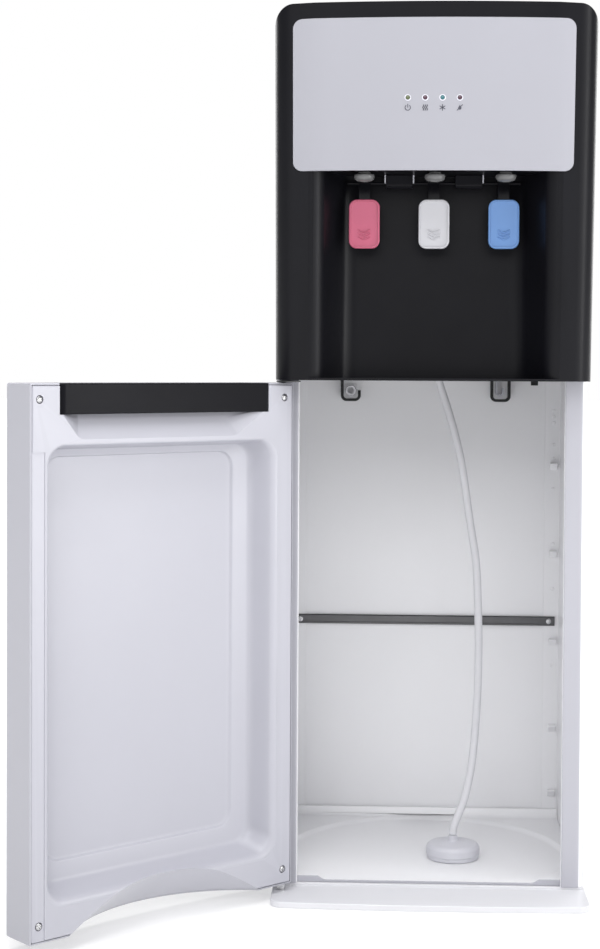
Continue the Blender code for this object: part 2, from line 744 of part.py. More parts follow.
def make_rear():
    back = REAR_Y + SHEET + GAP + SHEET + GAP
    tube("condenser_coil", condenser_points(), 0.0024, "black_plastic")
    for side, name in ((-1, "left"), (1, "right")):
        x = side * 0.080
        box("condenser_rail_" + name, (x - 0.006, back, 0.110), (x + 0.006, 0.1773, 0.548),
            "black_plastic", 0.0006, 1)
    gland = ((0.0, 0.014), (0.004, 0.014), (0.0065, 0.012), (0.0075, 0.004), (0.011, 0.0035),
             (0.011, 0.0), (0.0, 0.0))
    turned("cord_gland", gland, 24, (0.120, back, 0.605), "black_rubber", "rear")
    drain = ((0.0, 0.012), (0.009, 0.012), (0.011, 0.010), (0.011, 0.003), (0.014, 0.0025),
             (0.014, 0.0), (0.0, 0.0))
    turned("drain_plug", drain, 24, (-0.120, back, 0.600), "white_plastic", "rear")
    middle = -0.035
    surround = box("switch_plate", (middle - 0.029, back, SWITCH_Z - 0.015),
                   (middle + 0.029, back + 0.0028, SWITCH_Z + 0.015), "black_plastic")
    for name, offset, colour in (("hot", -0.015, "red_plastic"), ("cold", 0.015, "green_plastic")):
        x = middle + offset
        window = box("window_" + name, (x - 0.0062, back - 0.01, SWITCH_Z - 0.0100),
                     (x + 0.0062, back + 0.01, SWITCH_Z + 0.0100))
        boolean(surround, window)
        hinge = bpy.data.objects.new("rocker_pivot_" + name, None)
        hinge.location = (x, back + 0.0032, SWITCH_Z)
        hinge.rotation_euler = (math.radians(-ROCKER_TILT), 0.0, 0.0)
        PARTS.objects.link(hinge)
        side = [(-0.0018, -0.009), (0.0012, -0.009), (0.0024, 0.0), (0.0012, 0.009),
                (-0.0018, 0.009)]
        rocker = side_plate("rocker_" + name, side, -0.0055, 0.0055, colour)
        rocker.parent = hinge


# ---- compartment fittings --------------------------------------------------
def clip_outline(middle, open_right):
    """A hanging loop of strip, seen from the front."""
    outer, wall = 0.0120, 0.0032
    low = 0.5235
    top = DECK_Z - GAP
    points = [(middle - outer, top), (middle - outer, low + 0.007)]
    points += arc((middle - outer + 0.007, low + 0.007), 0.007, 180, 270, 4)[1:]
    points += arc((middle + outer - 0.007, low + 0.007), 0.007, 270, 360, 4)
    end = low + 0.013 if open_right else top
    inner = 0.007 - wall
    points += [(middle + outer, end), (middle + outer - wall, end)]
    points += arc((middle + outer - 0.007, low + 0.007), inner, 360, 270, 4)
    points += arc((middle - outer + 0.007, low + 0.007), inner, 270, 180, 4)
    points += [(middle - outer + wall, top)]
    return points


def make_clips():
    for name, middle, open_right in (("left", -0.0912, True), ("right", 0.0897, False)):
        front_plate("hose_clip_" + name, clip_outline(middle, open_right), 0.146, 0.158,
                    "black_rubber")


def make_hose():
    start = Vector(HOSE_ROUTE[0])
    tube("suction_hose", smooth_route(HOSE_ROUTE, 60), HOSE_R, "hose")
    profile = ((0.0, 0.018), (0.0062, 0.018), (0.0062, 0.0105), (0.0080, 0.0100),
               (0.0080, 0.0075), (0.0062, 0.0070), (0.0062, 0.0), (0.0, 0.0))
    up = Vector((-HOSE_TILT, 0.0, 1.0)).normalized()
    spigot = turned("hose_spigot", profile, 28, start + up * GAP, "clear_grey")
    spigot.rotation_euler = (0.0, -math.atan(HOSE_TILT), 0.0)
    low = DISH_FLOOR + GAP
    top = CAP_HEIGHT
    profile = ((0.0, top + 0.0080), (HOSE_R + 0.0005, top + 0.0078),
               (HOSE_R + 0.0012, top + 0.0010), (0.0220, top),
               (CAP_RADIUS - 0.0025, top - 0.0010), (CAP_RADIUS, top - 0.0040),
               (CAP_RADIUS, 0.0025), (CAP_RADIUS - 0.0015, 0.0), (0.0, 0.0))
    turned("suction_cap", profile, 48, (CAP_X, CAP_Y, low), "white_plastic")


# ---- door ------------------------------------------------------------------
def door_x(u):
    return u - DOOR_EDGE


def door_y(depth):
    return DOOR_FACE - depth


def door_outline(inset, face):
    """Plan of the door; face is how deep the outline starts from its inner face."""
    low_u, high_u = inset, DOOR_WIDTH - inset
    radius = DOOR_CORNER_R - inset
    side = DOOR_SIDE - inset
    middle = DOOR_MIDDLE - inset
    half = DOOR_WIDTH / 2
    reach = half - inset - radius
    points = [(door_x(high_u), door_y(face)), (door_x(low_u), door_y(face))]
    left = (door_x(low_u) + radius, door_y(side) + radius)
    points += arc(left, radius, 180, 262, 4)
    for i in range(1, 12):
        across = (-1 + i / 6) * reach
        depth = middle - (middle - side) * (across / reach) ** 2
        points.append((door_x(half + across), door_y(depth)))
    right = (door_x(high_u) - radius, door_y(side) + radius)
    points += arc(right, radius, 278, 360, 4)
    return points


def door_box(name, u, depth, z, material=None):
    return box(name, (door_x(u[0]), door_y(depth[1]), z[0]),
               (door_x(u[1]), door_y(depth[0]), z[1]), material)


def frustum(name, low, high, inner_low, inner_high, depth):
    """A tapered pocket from the inner face down to its floor."""
    radius = 0.022
    outer = rounded_rectangle(low, high, radius, 5)
    floor = rounded_rectangle(inner_low, inner_high, radius, 5)
    work = bmesh.new()
    above = 0.25
    rings = []
    for share in (-above, 1.0):
        loop = []
        for (x0, z0), (x1, z1) in zip(outer, floor):
            x = x0 + (x1 - x0) * share
            z = z0 + (z1 - z0) * share
            loop.append(work.verts.new((door_x(x), door_y(depth * share), z)))
        rings.append(loop)
    count = len(outer)
    for i in range(count):
        j = (i + 1) % count
        work.faces.new((rings[0][i], rings[0][j], rings[1][j], rings[1][i]))
    work.faces.new(rings[0])
    work.faces.new(rings[1])
    bmesh.ops.recalc_face_normals(work, faces=work.faces)
    mesh = bpy.data.meshes.new(name)
    work.to_mesh(mesh)
    work.free()
    return add_object(name, mesh)


def arch_cutter(name, pivot):
    """A cone standing in front of the inner face: wide below, narrow above."""
    away = ARCH_RADIUS - ARCH_DEPTH
    slope = ARCH_DEPTH / ARCH_HEIGHT
    below = 0.004
    top = 0.02
    profile = ((0.0, ARCH_HEIGHT + top), (away - slope * top, ARCH_HEIGHT + top),
               (ARCH_RADIUS + slope * below, -below), (0.0, -below))
    place = (door_x(DOOR_WIDTH / 2), door_y(-away), DOOR_Z[0])
    return turned(name, profile, 72, place, pivot=pivot)


def hinge_bore(name, low, high, pivot):
    return turned(name, disc(0.0031, high, low), 20, (0.0, 0.0, 0.0), pivot=pivot)


def make_door():
    pivot = bpy.data.objects.new("door_pivot", None)
    pivot.location = PIVOT
    pivot.rotation_euler = (0.0, 0.0, math.radians(-DOOR_OPEN_DEG))
    PARTS.objects.link(pivot)

    def fit(item):
        item.parent = pivot
        return item

    def bores(item, label):
        boolean(item, hinge_bore(label + "_bore_low", -0.02, 0.030, pivot))
        boolean(item, hinge_bore(label + "_bore_high", 0.533, 0.60, pivot))

    skin = fit(plate("door_skin", door_outline(0.0, 0.0), DOOR_Z[0], DOOR_Z[1], "white_steel"))
    hollow = plate("skin_hollow", door_outline(SKIN, -0.01), DOOR_Z[0] + SKIN, DOOR_Z[1] - SKIN)
    boolean(skin, fit(hollow))
    notch = (HANDLE_U[0] - GAP, HANDLE_U[1] + GAP)
    deep = HANDLE_DEPTH + GAP
    boolean(skin, fit(door_box("skin_notch", notch, (-0.01, deep), (HANDLE_Z[0], 0.56))))
    boolean(skin, fit(door_box("skin_grip", GRIP_U, (HANDLE_DEPTH + 0.004, 0.08), GRIP_Z)))
    boolean(skin, arch_cutter("skin_arch", pivot))
    bores(skin, "skin")

    low, high = DOOR_Z[0] + SKIN + GAP, DOOR_Z[1] - SKIN - GAP
    liner = fit(plate("door_liner", door_outline(SKIN + GAP, 0.0), low, high, "white_plastic"))
    recess = frustum("recess", (RECESS_U[0], RECESS_Z[0]), (RECESS_U[1], RECESS_Z[1]),
                     (RECESS_FLOOR_U[0], RECESS_FLOOR_Z[0]),
                     (RECESS_FLOOR_U[1], RECESS_FLOOR_Z[1]), RECESS_DEPTH)
    boolean(liner, fit(recess))
    boolean(liner, fit(door_box("liner_notch", notch, (-0.01, deep), (HANDLE_Z[0] - GAP, 0.56))))
    grip = (GRIP_U[0] - 0.006, GRIP_U[1] + 0.006)
    room = (GRIP_Z[0] - 0.006, 0.56)
    boolean(liner, fit(door_box("liner_grip", grip, (0.03, 0.08), room)))
    boolean(liner, arch_cutter("liner_arch", pivot))
    bores(liner, "liner")

    handle = fit(door_box("door_handle", HANDLE_U, (0.0, HANDLE_DEPTH), HANDLE_Z,
                          "black_plastic"))
    groove = fit(turned("handle_groove", disc(0.0095, 0.073, -0.073), 24,
                        (door_x(DOOR_WIDTH / 2), door_y(HANDLE_DEPTH), sum(GRIP_Z) / 2),
                        axis="side"))
    boolean(handle, groove)

    for i, u in enumerate(SCREW_U):
        for j, z in enumerate(SCREW_Z):
            name = ("hinge", "free")[i] + "_" + ("low", "high")[j]
            sink = turned("sink_" + name, disc(0.0040, 0.0020, -0.004), 20,
                          (door_x(u), door_y(0.0), z), axis="rear", pivot=pivot)
            boolean(liner, sink)
            screw_head("door_screw_" + name, (door_x(u), door_y(0.0037), z), "rear", 0.0034,
                       0.0033, pivot)


def make_hinges():
    box("hinge_leaf", (-0.1645, PIVOT.y - 0.0075, 0.5482), (-0.1395, FRAME_Y - 0.0012, 0.5498),
        "galvanised")
    turned("hinge_pin_upper", disc(0.0025, 0.5479, 0.5350), 20, (PIVOT.x, PIVOT.y, 0.0), "steel")
    collar = BASE_EDGE + GAP
    profile = ((0.0, 0.028), (0.0025, 0.028), (0.0025, 0.0139), (0.0045, 0.0139),
               (0.0045, collar), (0.0, collar))
    turned("hinge_pin_lower", profile, 20, (PIVOT.x, PIVOT.y, 0.0), "steel")


def main():
    make_base()
    make_floor_pan()
    make_side_panels()
    make_back()
    make_cross_bar()
    make_deck()
    make_top_cover()
    make_fascia()
    make_panel()
    make_nozzles()
    make_levers()
    make_shaft()
    make_inside()
    make_rear()
    make_clips()
    make_hose()
    make_door()
    make_hinges()
    bpy.context.view_layer.update()


main()
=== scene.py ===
"""Looks of the floor-standing water dispenser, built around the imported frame.

Metres, +Z up, the front faces -Y.  The pieces made here are in the frame's own
coordinates and each rides on a body of the frame.  The deck, the tap valves, the
tanks, the compressor and the pump are the frame's own nodes.  All of them take
procedural materials.
"""
import math

import bmesh
import bpy
from mathutils import Matrix, Vector


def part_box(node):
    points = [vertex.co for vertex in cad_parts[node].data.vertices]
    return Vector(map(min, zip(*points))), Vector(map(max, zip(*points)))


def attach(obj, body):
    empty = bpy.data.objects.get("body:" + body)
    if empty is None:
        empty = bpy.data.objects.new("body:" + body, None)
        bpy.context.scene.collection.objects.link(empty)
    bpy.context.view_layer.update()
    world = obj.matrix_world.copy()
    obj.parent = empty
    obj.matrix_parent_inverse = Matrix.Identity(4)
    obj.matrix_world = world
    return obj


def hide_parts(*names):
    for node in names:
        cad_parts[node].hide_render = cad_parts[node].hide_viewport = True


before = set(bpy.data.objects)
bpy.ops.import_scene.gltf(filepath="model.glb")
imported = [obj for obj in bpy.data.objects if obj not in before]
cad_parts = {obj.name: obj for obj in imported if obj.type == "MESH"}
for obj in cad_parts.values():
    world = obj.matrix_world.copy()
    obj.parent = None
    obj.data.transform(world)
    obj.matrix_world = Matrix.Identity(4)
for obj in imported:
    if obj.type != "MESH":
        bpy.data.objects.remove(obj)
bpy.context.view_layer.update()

# ---- dimensions that repeat the frame's ------------------------------------
GAP = 0.0003
SHEET = 0.0015
CAB_HALF = 0.165
FRAME_Y = -0.110
REAR_Y = 0.164
CAB_BOTTOM = 0.0095
CAB_TOP = 0.928
OPENING_HALF = 0.141
REAR_OPENING_HALF = 0.145
DECK_Z = 0.560
PIVOT = Vector((-0.1575, FRAME_Y - 0.0129, 0.0))
DOOR_OPEN = math.radians(136.4)

# ---- camera ----------------------------------------------------------------
CAMERA_PLACE = (-0.0508, -1.9997, 0.5623)
CAMERA_YAW = 0.0425
CAMERA_PITCH = 0.0274
CAMERA_ROLL = 0.0055
CAMERA_LENS = 67.23
CAMERA_SHIFT = (-0.00906, -0.0602)


def make_camera():
    data = bpy.data.cameras.new("view_camera")
    data.sensor_fit = "VERTICAL"
    data.sensor_height = 36.0
    data.lens = CAMERA_LENS
    data.shift_x, data.shift_y = CAMERA_SHIFT
    data.clip_start = 0.05
    camera = bpy.data.objects.new("view_camera", data)
    bpy.context.scene.collection.objects.link(camera)
    turn = Matrix.Rotation(CAMERA_YAW, 4, "Z")
    tip = Matrix.Rotation(math.pi / 2 - CAMERA_PITCH, 4, "X")
    roll = Matrix.Rotation(CAMERA_ROLL, 4, "Z")
    camera.matrix_world = Matrix.Translation(CAMERA_PLACE) @ turn @ tip @ roll
    bpy.context.scene.camera = camera


make_camera()

# ---- materials -------------------------------------------------------------
def node(tree, kind, **inputs):
    item = tree.nodes.new(kind)
    for name, value in inputs.items():
        item.inputs[name].default_value = value
    return item


def noise(tree, source, scale, detail=3.0, rough=0.55):
    item = node(tree, "ShaderNodeTexNoise", Scale=scale, Detail=detail, Roughness=rough)
    tree.links.new(source, item.inputs["Vector"])
    return item.outputs["Fac"]


def ramp(tree, factor, low, high, start, end):
    """Remap a factor from low..high to start..end."""
    item = node(tree, "ShaderNodeMapRange")
    item.inputs["From Min"].default_value = low
    item.inputs["From Max"].default_value = high
    item.inputs["To Min"].default_value = start
    item.inputs["To Max"].default_value = end
    tree.links.new(factor, item.inputs["Value"])
    return item.outputs["Result"]


def blend_colour(tree, factor, first, second):
    item = tree.nodes.new("ShaderNodeMix")
    item.data_type = "RGBA"
    tree.links.new(factor, item.inputs[0])
    for value, socket in ((first, item.inputs[6]), (second, item.inputs[7])):
        if isinstance(value, tuple):
            socket.default_value = value + (1.0,)
        else:
            tree.links.new(value, socket)
    return item.outputs[2]


def tone(colour, factor):
    return tuple(min(channel * factor, 1.0) for channel in colour)


def finish_material(name, colour, roughness, metallic=0.0, specular=0.5, vary=0.05,
                    grain=900.0, bump=0.00006, blotch=9.0, edge=1.12, spread=0.02,
                    coat=0.0):
    """One finish: uneven tint, worn edges, uneven gloss and a fine surface grain."""
    material = bpy.data.materials.new(name)
    material.use_nodes = True
    tree = material.node_tree
    shader = tree.nodes["Principled BSDF"]
    place = tree.nodes.new("ShaderNodeTexCoord").outputs["Object"]
    clouds = noise(tree, place, blotch, 4.0)
    tint = blend_colour(tree, ramp(tree, clouds, 0.3, 0.7, 0.0, 1.0),
                        tone(colour, 1.0 - vary), tone(colour, 1.0 + vary))
    dust = ramp(tree, noise(tree, place, blotch * 11.0, 6.0, 0.7), 0.45, 0.85, 0.0, 0.3)
    tint = blend_colour(tree, dust, tint, tone(colour, 1.0 - 1.2 * vary))
    point = tree.nodes.new("ShaderNodeNewGeometry").outputs["Pointiness"]
    worn = ramp(tree, point, 0.52, 0.60, 0.0, 0.6)
    tint = blend_colour(tree, worn, tint, tone(colour, edge))
    tree.links.new(tint, shader.inputs["Base Color"])
    gloss = ramp(tree, noise(tree, place, blotch * 3.0, 5.0), 0.3, 0.7,
                 max(roughness - spread, 0.02), roughness + spread)
    tree.links.new(gloss, shader.inputs["Roughness"])
    relief = node(tree, "ShaderNodeBump", Strength=0.6, Distance=bump)
    tree.links.new(noise(tree, place, grain, 2.0), relief.inputs["Height"])
    tree.links.new(relief.outputs["Normal"], shader.inputs["Normal"])
    shader.inputs["Metallic"].default_value = metallic
    shader.inputs["Specular IOR Level"].default_value = specular
    shader.inputs["Coat Weight"].default_value = coat
    shader.inputs["IOR"].default_value = 1.5
    return material


MATERIALS = {
    "white_steel": finish_material("powder_coat", (0.44, 0.44, 0.485), 0.34, vary=0.010,
                                   grain=1400.0, bump=0.00005, edge=1.06),
    # The compartment's inside faces take this copy of the white steel, painted about twice as
    # bright as the outside: painted light that lifts the shaded inside.
    "inner_steel_painted_light": finish_material("compartment_coat_painted_light", (0.88, 0.88, 0.90), 0.30, vary=0.008,
                                   grain=1200.0, bump=0.00006, edge=1.04),
    "white_plastic": finish_material("moulded_white", (0.455, 0.455, 0.505), 0.30, vary=0.010,
                                     grain=2200.0, bump=0.00003, edge=1.05),
    "cap_white": finish_material("cap_white", (0.62, 0.62, 0.67), 0.32, vary=0.01,
                                 grain=1800.0, bump=0.00003, edge=1.05),
    "base_coat": finish_material("base_coat", (0.72, 0.72, 0.75), 0.34, vary=0.01,
                                 grain=1400.0, bump=0.00005, edge=1.05),
    "panel_plastic": finish_material("panel_white", (0.36, 0.36, 0.40), 0.36, vary=0.010,
                                     grain=2600.0, bump=0.00003, edge=1.06),
    "black_plastic": finish_material("moulded_black", (0.0048, 0.0048, 0.0068), 0.34,
                                     specular=0.16, vary=0.12, grain=1900.0, bump=0.00001,
                                     edge=1.8, spread=0.02),
    "handle_plastic": finish_material("handle_black", (0.0040, 0.0040, 0.0060), 0.30,
                                      specular=0.10, vary=0.12, grain=1500.0, bump=0.00008,
                                      edge=1.8),
    "black_rubber": finish_material("rubber", (0.016, 0.016, 0.017), 0.62, specular=0.35,
                                    vary=0.15, grain=1200.0, bump=0.00012, edge=1.5),
    "galvanised": finish_material("zinc_plate", (0.12, 0.12, 0.124), 0.38, metallic=0.85,
                                  vary=0.10, blotch=60.0, grain=800.0, bump=0.00008,
                                  edge=1.3),
    "steel": finish_material("bright_steel", (0.56, 0.56, 0.57), 0.26, metallic=1.0,
                             vary=0.06, blotch=80.0, grain=1500.0, bump=0.00005, edge=1.2),
    "clear_grey": finish_material("smoked_resin", (0.15, 0.15, 0.153), 0.20, vary=0.05,
                                  grain=1500.0, bump=0.00003),
    "red_plastic": finish_material("paddle_red", (0.46, 0.095, 0.165), 0.34, vary=0.05,
                                   grain=1600.0, bump=0.00004, edge=1.12),
    "blue_plastic": finish_material("paddle_blue", (0.125, 0.255, 0.53), 0.34, vary=0.05,
                                    grain=1600.0, bump=0.00004, edge=1.12),
    "green_plastic": finish_material("rocker_green", (0.06, 0.36, 0.13), 0.34, vary=0.05,
                                     grain=1600.0, bump=0.00004),
    "paddle_white": finish_material("paddle_white", (0.50, 0.50, 0.53), 0.34, vary=0.03,
                                    grain=1600.0, bump=0.00004),
    "foam": finish_material("tank_foam", (0.62, 0.58, 0.48), 0.85, vary=0.10,
                            grain=500.0, bump=0.0006),
    "hose": finish_material("frosted_tube", (0.66, 0.66, 0.69), 0.42, specular=0.35,
                            vary=0.012, blotch=20.0, grain=1200.0, bump=0.00002),
    "lens_green": finish_material("lens_green", (0.085, 0.105, 0.045), 0.16, vary=0.1,
                                  coat=0.5),
    "lens_red": finish_material("lens_red", (0.060, 0.022, 0.040), 0.16, vary=0.1, coat=0.5),
    "lens_teal": finish_material("lens_teal", (0.030, 0.135, 0.155), 0.16, vary=0.1,
                                 coat=0.5),
    "halo": finish_material("lens_surround", (0.76, 0.76, 0.83), 0.25, vary=0.02),
    "ink": finish_material("pad_printed_grey", (0.06, 0.06, 0.08), 0.45, vary=0.08),
    "compressor_paint": finish_material("compressor_black", (0.018, 0.018, 0.019), 0.34,
                                        vary=0.15, grain=700.0, bump=0.00015, edge=1.6),
    "coil_paint": finish_material("coil_black", (0.014, 0.014, 0.015), 0.40, vary=0.15,
                                  grain=1000.0, bump=0.00012, edge=1.8),
}
SHOWN_NODES = {
    "galvanised": ("deck",),
    "white_plastic": ("tap_valve_hot", "tap_valve_room", "tap_valve_cold"),
    "steel": ("hot_tank",),
    "foam": ("cold_tank",),
    "compressor_paint": ("compressor",),
    "black_plastic": ("pump",),
}


def dress_frame():
    """Give the frame's nodes that stay in view their materials."""
    for finish, names in SHOWN_NODES.items():
        for name in names:
            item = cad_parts[name]
            for slot in item.material_slots:
                slot.material = MATERIALS[finish]


dress_frame()


# ---- stage and lights ------------------------------------------------------
def make_floor():
    work = bmesh.new()
    bmesh.ops.create_circle(work, cap_ends=True, radius=30.0, segments=64)
    mesh = bpy.data.meshes.new("studio_floor")
    work.to_mesh(mesh)
    work.free()
    floor = bpy.data.objects.new("studio_floor", mesh)
    floor.location.z = -0.0002
    bpy.context.scene.collection.objects.link(floor)
    material = bpy.data.materials.new("studio_paper")
    material.use_nodes = True
    shader = material.node_tree.nodes["Principled BSDF"]
    shader.inputs["Base Color"].default_value = (0.60, 0.60, 0.60, 1.0)
    shader.inputs["Roughness"].default_value = 0.9
    shader.inputs["Specular IOR Level"].default_value = 0.1
    shader.inputs["Emission Color"].default_value = (1.0, 1.0, 1.0, 1.0)
    tree = material.node_tree
    place = tree.nodes.new("ShaderNodeTexCoord").outputs["Object"]
    reach = tree.nodes.new("ShaderNodeVectorMath")
    reach.operation = "LENGTH"
    tree.links.new(place, reach.inputs[0])
    glow = ramp(tree, reach.outputs["Value"], 0.5, 2.6, 0.42, 1.0)
    tree.links.new(glow, shader.inputs["Emission Strength"])
    mesh.materials.append(material)


def area_light(name, place, target, size, power):
    data = bpy.data.lights.new(name, "AREA")
    data.shape = "RECTANGLE"
    data.size, data.size_y = size
    data.energy = power
    light = bpy.data.objects.new(name, data)
    light.location = place
    aim = Vector(target) - Vector(place)
    light.rotation_euler = aim.to_track_quat("-Z", "Y").to_euler()
    bpy.context.scene.collection.objects.link(light)


def make_world():
    """A white studio: seen white directly, a softer grey in reflections."""
    world = bpy.data.worlds.new("studio")
    bpy.context.scene.world = world
    world.use_nodes = True
    tree = world.node_tree
    backdrop = tree.nodes["Background"]
    backdrop.inputs["Color"].default_value = (1.0, 1.0, 1.0, 1.0)
    backdrop.inputs["Strength"].default_value = 1.0
    fill = node(tree, "ShaderNodeBackground", Color=(0.97, 0.98, 1.0, 1.0), Strength=0.30)
    path = tree.nodes.new("ShaderNodeLightPath")
    mix = tree.nodes.new("ShaderNodeMixShader")
    tree.links.new(path.outputs["Is Camera Ray"], mix.inputs["Fac"])
    tree.links.new(fill.outputs["Background"], mix.inputs[1])
    tree.links.new(backdrop.outputs["Background"], mix.inputs[2])
    tree.links.new(mix.outputs["Shader"], tree.nodes["World Output"].inputs["Surface"])


SCENE_MIDDLE = (0.0, 0.0, 0.45)
# name, place, width and height in metres, power in watts
LIGHTS = (
    ("soft_left", (-1.75, -2.3, 0.95), (1.3, 1.9), 4.0),
    ("soft_right", (2.1, -1.7, 0.85), (1.2, 1.9), 9.0),
    ("front_high", (-0.2, -3.3, 1.95), (3.0, 1.3), 40.0),
    ("strip_right", (2.2, -0.9, 0.8), (0.35, 1.8), 16.0),
    ("key_high", (-0.3, -2.0, 2.6), (0.5, 0.5), 9.0),
    ("overhead", (0.0, -0.3, 3.0), (2.4, 2.4), 80.0),
    ("rear_left", (-2.0, 2.6, 1.4), (1.4, 1.8), 24.0),
    ("rear_right", (2.0, 2.6, 1.4), (1.4, 1.8), 24.0),
)


def make_lights():
    for name, place, size, power in LIGHTS:
        area_light(name, place, SCENE_MIDDLE, size, power)


make_floor()
make_world()
make_lights()
bpy.context.scene.view_settings.view_transform = "Standard"


# ---- suction hose ----------------------------------------------------------
HOSE_D = 0.009
HOSE_ROUTE = (
    (0.0105, 0.030, 0.5520),
    (0.0130, 0.030, 0.5446),
    (0.0218, 0.030, 0.5180),
    (0.0300, 0.030, 0.4898),
    (0.0387, 0.029, 0.4522),
    (0.0475, 0.027, 0.3929),
    (0.0553, 0.025, 0.3428),
    (0.0578, 0.022, 0.2928),
    (0.0587, 0.018, 0.2419),
    (0.0571, 0.013, 0.1845),
    (0.0520, 0.006, 0.1219),
    (0.0440, -0.002, 0.0815),
    (0.0355, -0.0065, 0.0590),
    (0.0304, -0.0079, 0.0460),
    (0.0300, -0.0080, 0.0386),
)


def smooth_route(points, count):
    """Even points on a Catmull-Rom curve through the given points."""
    pads = [Vector(points[0]) * 2 - Vector(points[1])]
    pads += [Vector(point) for point in points]
    pads.append(Vector(points[-1]) * 2 - Vector(points[-2]))
    dense = []
    for i in range(1, len(pads) - 2):
        before, start, end, after = pads[i - 1:i + 3]
        for j in range(12):
            t = j / 12
            dense.append(0.5 * (2 * start + (end - before) * t
                                + (2 * before - 5 * start + 4 * end - after) * t ** 2
                                + (3 * start - before - 3 * end + after) * t ** 3))
    dense.append(pads[-2])
    lengths = [0.0]
    for first, second in zip(dense, dense[1:]):
        lengths.append(lengths[-1] + (second - first).length)
    result = []
    place = 0
    for i in range(count):
        target = lengths[-1] * i / (count - 1)
        while place < len(lengths) - 2 and lengths[place + 1] < target:
            place += 1
        share = (target - lengths[place]) / (lengths[place + 1] - lengths[place])
        result.append(dense[place].lerp(dense[place + 1], min(max(share, 0.0), 1.0)))
    return result


def spline_curve(name, points, radius, resolution=5):
    curve = bpy.data.curves.new(name, "CURVE")
    curve.dimensions = "3D"
    curve.bevel_depth = radius
    curve.bevel_resolution = resolution
    curve.use_fill_caps = True
    spline = curve.splines.new("POLY")
    spline.points.add(len(points) - 1)
    for point, place in zip(spline.points, points):
        point.co = (place[0], place[1], place[2], 1.0)
    item = bpy.data.objects.new(name, curve)
    bpy.context.scene.collection.objects.link(item)
    return item


def make_hose():
    points = smooth_route(HOSE_ROUTE, 110)
    hose = spline_curve("hose", points, HOSE_D / 2)
    hose.data.materials.append(MATERIALS["hose"])
    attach(hose, "cabinet")
    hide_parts("suction_hose")


# ---- mesh helpers ----------------------------------------------------------
def add_mesh(name, mesh):
    item = bpy.data.objects.new(name, mesh)
    bpy.context.scene.collection.objects.link(item)
    return item


def from_bmesh(name, work):
    mesh = bpy.data.meshes.new(name)
    work.to_mesh(mesh)
    work.free()
    return add_mesh(name, mesh)


def apply_modifiers(item):
    bpy.context.view_layer.update()
    graph = bpy.context.evaluated_depsgraph_get()
    mesh = bpy.data.meshes.new_from_object(item.evaluated_get(graph))
    item.modifiers.clear()
    old = item.data
    item.data = mesh
    bpy.data.meshes.remove(old)
    return item


def boolean(item, other, operation="DIFFERENCE"):
    step = item.modifiers.new("cut", "BOOLEAN")
    step.operation = operation
    step.solver = "EXACT"
    step.object = other
    apply_modifiers(item)
    bpy.data.objects.remove(other, do_unlink=True)
    return item


def bevel(item, width, segments=3, angle=35.0, weights=False):
    rounding = item.modifiers.new("rounding", "BEVEL")
    rounding.width = width
    rounding.segments = segments
    rounding.limit_method = "WEIGHT" if weights else "ANGLE"
    rounding.angle_limit = math.radians(angle)
    rounding.miter_outer = "MITER_ARC"
    return apply_modifiers(item)


def weigh_edges(item, test):
    """Give bevel weight 1 to the sharp edges whose two ends pass the test."""
    mesh = item.data
    layer = mesh.attributes.get("bevel_weight_edge")
    if layer is None:
        layer = mesh.attributes.new("bevel_weight_edge", "FLOAT", "EDGE")
    work = bmesh.new()
    work.from_mesh(mesh)
    work.edges.ensure_lookup_table()
    for edge in work.edges:
        sharp = len(edge.link_faces) == 2 and edge.calc_face_angle(0.0) > math.radians(35.0)
        wanted = sharp and all(test(vert.co) for vert in edge.verts)
        layer.data[edge.index].value = 1.0 if wanted else 0.0
    work.free()
    return item


def clear_weights(item):
    layer = item.data.attributes.get("bevel_weight_edge")
    if layer:
        item.data.attributes.remove(layer)
    return item


def tidy(item, distance=0.00002):
    work = bmesh.new()
    work.from_mesh(item.data)
    bmesh.ops.remove_doubles(work, verts=work.verts, dist=distance)
    bmesh.ops.dissolve_degenerate(work, edges=work.edges, dist=distance)
    bmesh.ops.recalc_face_normals(work, faces=work.faces)
    work.to_mesh(item.data)
    work.free()
    return item


def shade(item, angle=38.0):
    item.data.shade_smooth()
    item.data.set_sharp_from_angle(angle=math.radians(angle))
    weight = item.modifiers.new("normals", "WEIGHTED_NORMAL")
    weight.keep_sharp = True
    weight.weight = 60
    return item


def settle(item, finish, body="cabinet", replaces=(), angle=38.0):
    """Give a finished piece its material, its body and the nodes it stands for."""
    item.data.materials.clear()
    item.data.materials.append(MATERIALS[finish])
    if item.type == "MESH":
        shade(item, angle)
    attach(item, body)
    if replaces:
        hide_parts(*replaces)
    return item


def second_finish(item, finish, test):
    """Give the faces that pass the test another finish."""
    item.data.materials.append(MATERIALS[finish])
    for face in item.data.polygons:
        face.material_index = int(test(face))


def box(name, low, high, rounding=0.0, segments=3):
    low, high = Vector(low), Vector(high)
    work = bmesh.new()
    bmesh.ops.create_cube(work, size=1.0)
    bmesh.ops.scale(work, vec=high - low, verts=work.verts)
    bmesh.ops.translate(work, vec=(low + high) / 2, verts=work.verts)
    item = from_bmesh(name, work)
    if rounding:
        bevel(item, rounding, segments)
    return item


def arc(centre, radius, start, end, count):
    """Points on an arc, angles in degrees."""
    points = []
    for i in range(count + 1):
        angle = math.radians(start + (end - start) * i / count)
        points.append((centre[0] + radius * math.cos(angle),
                       centre[1] + radius * math.sin(angle)))
    return points


def rounded_rectangle(low, high, radius, count=10):
    points = []
    corners = (
        ((high[0] - radius, high[1] - radius), 0),
        ((low[0] + radius, high[1] - radius), 90),
        ((low[0] + radius, low[1] + radius), 180),
        ((high[0] - radius, low[1] + radius), 270),
    )
    for centre, start in corners:
        points += arc(centre, radius, start, start + 90, count)
    return points


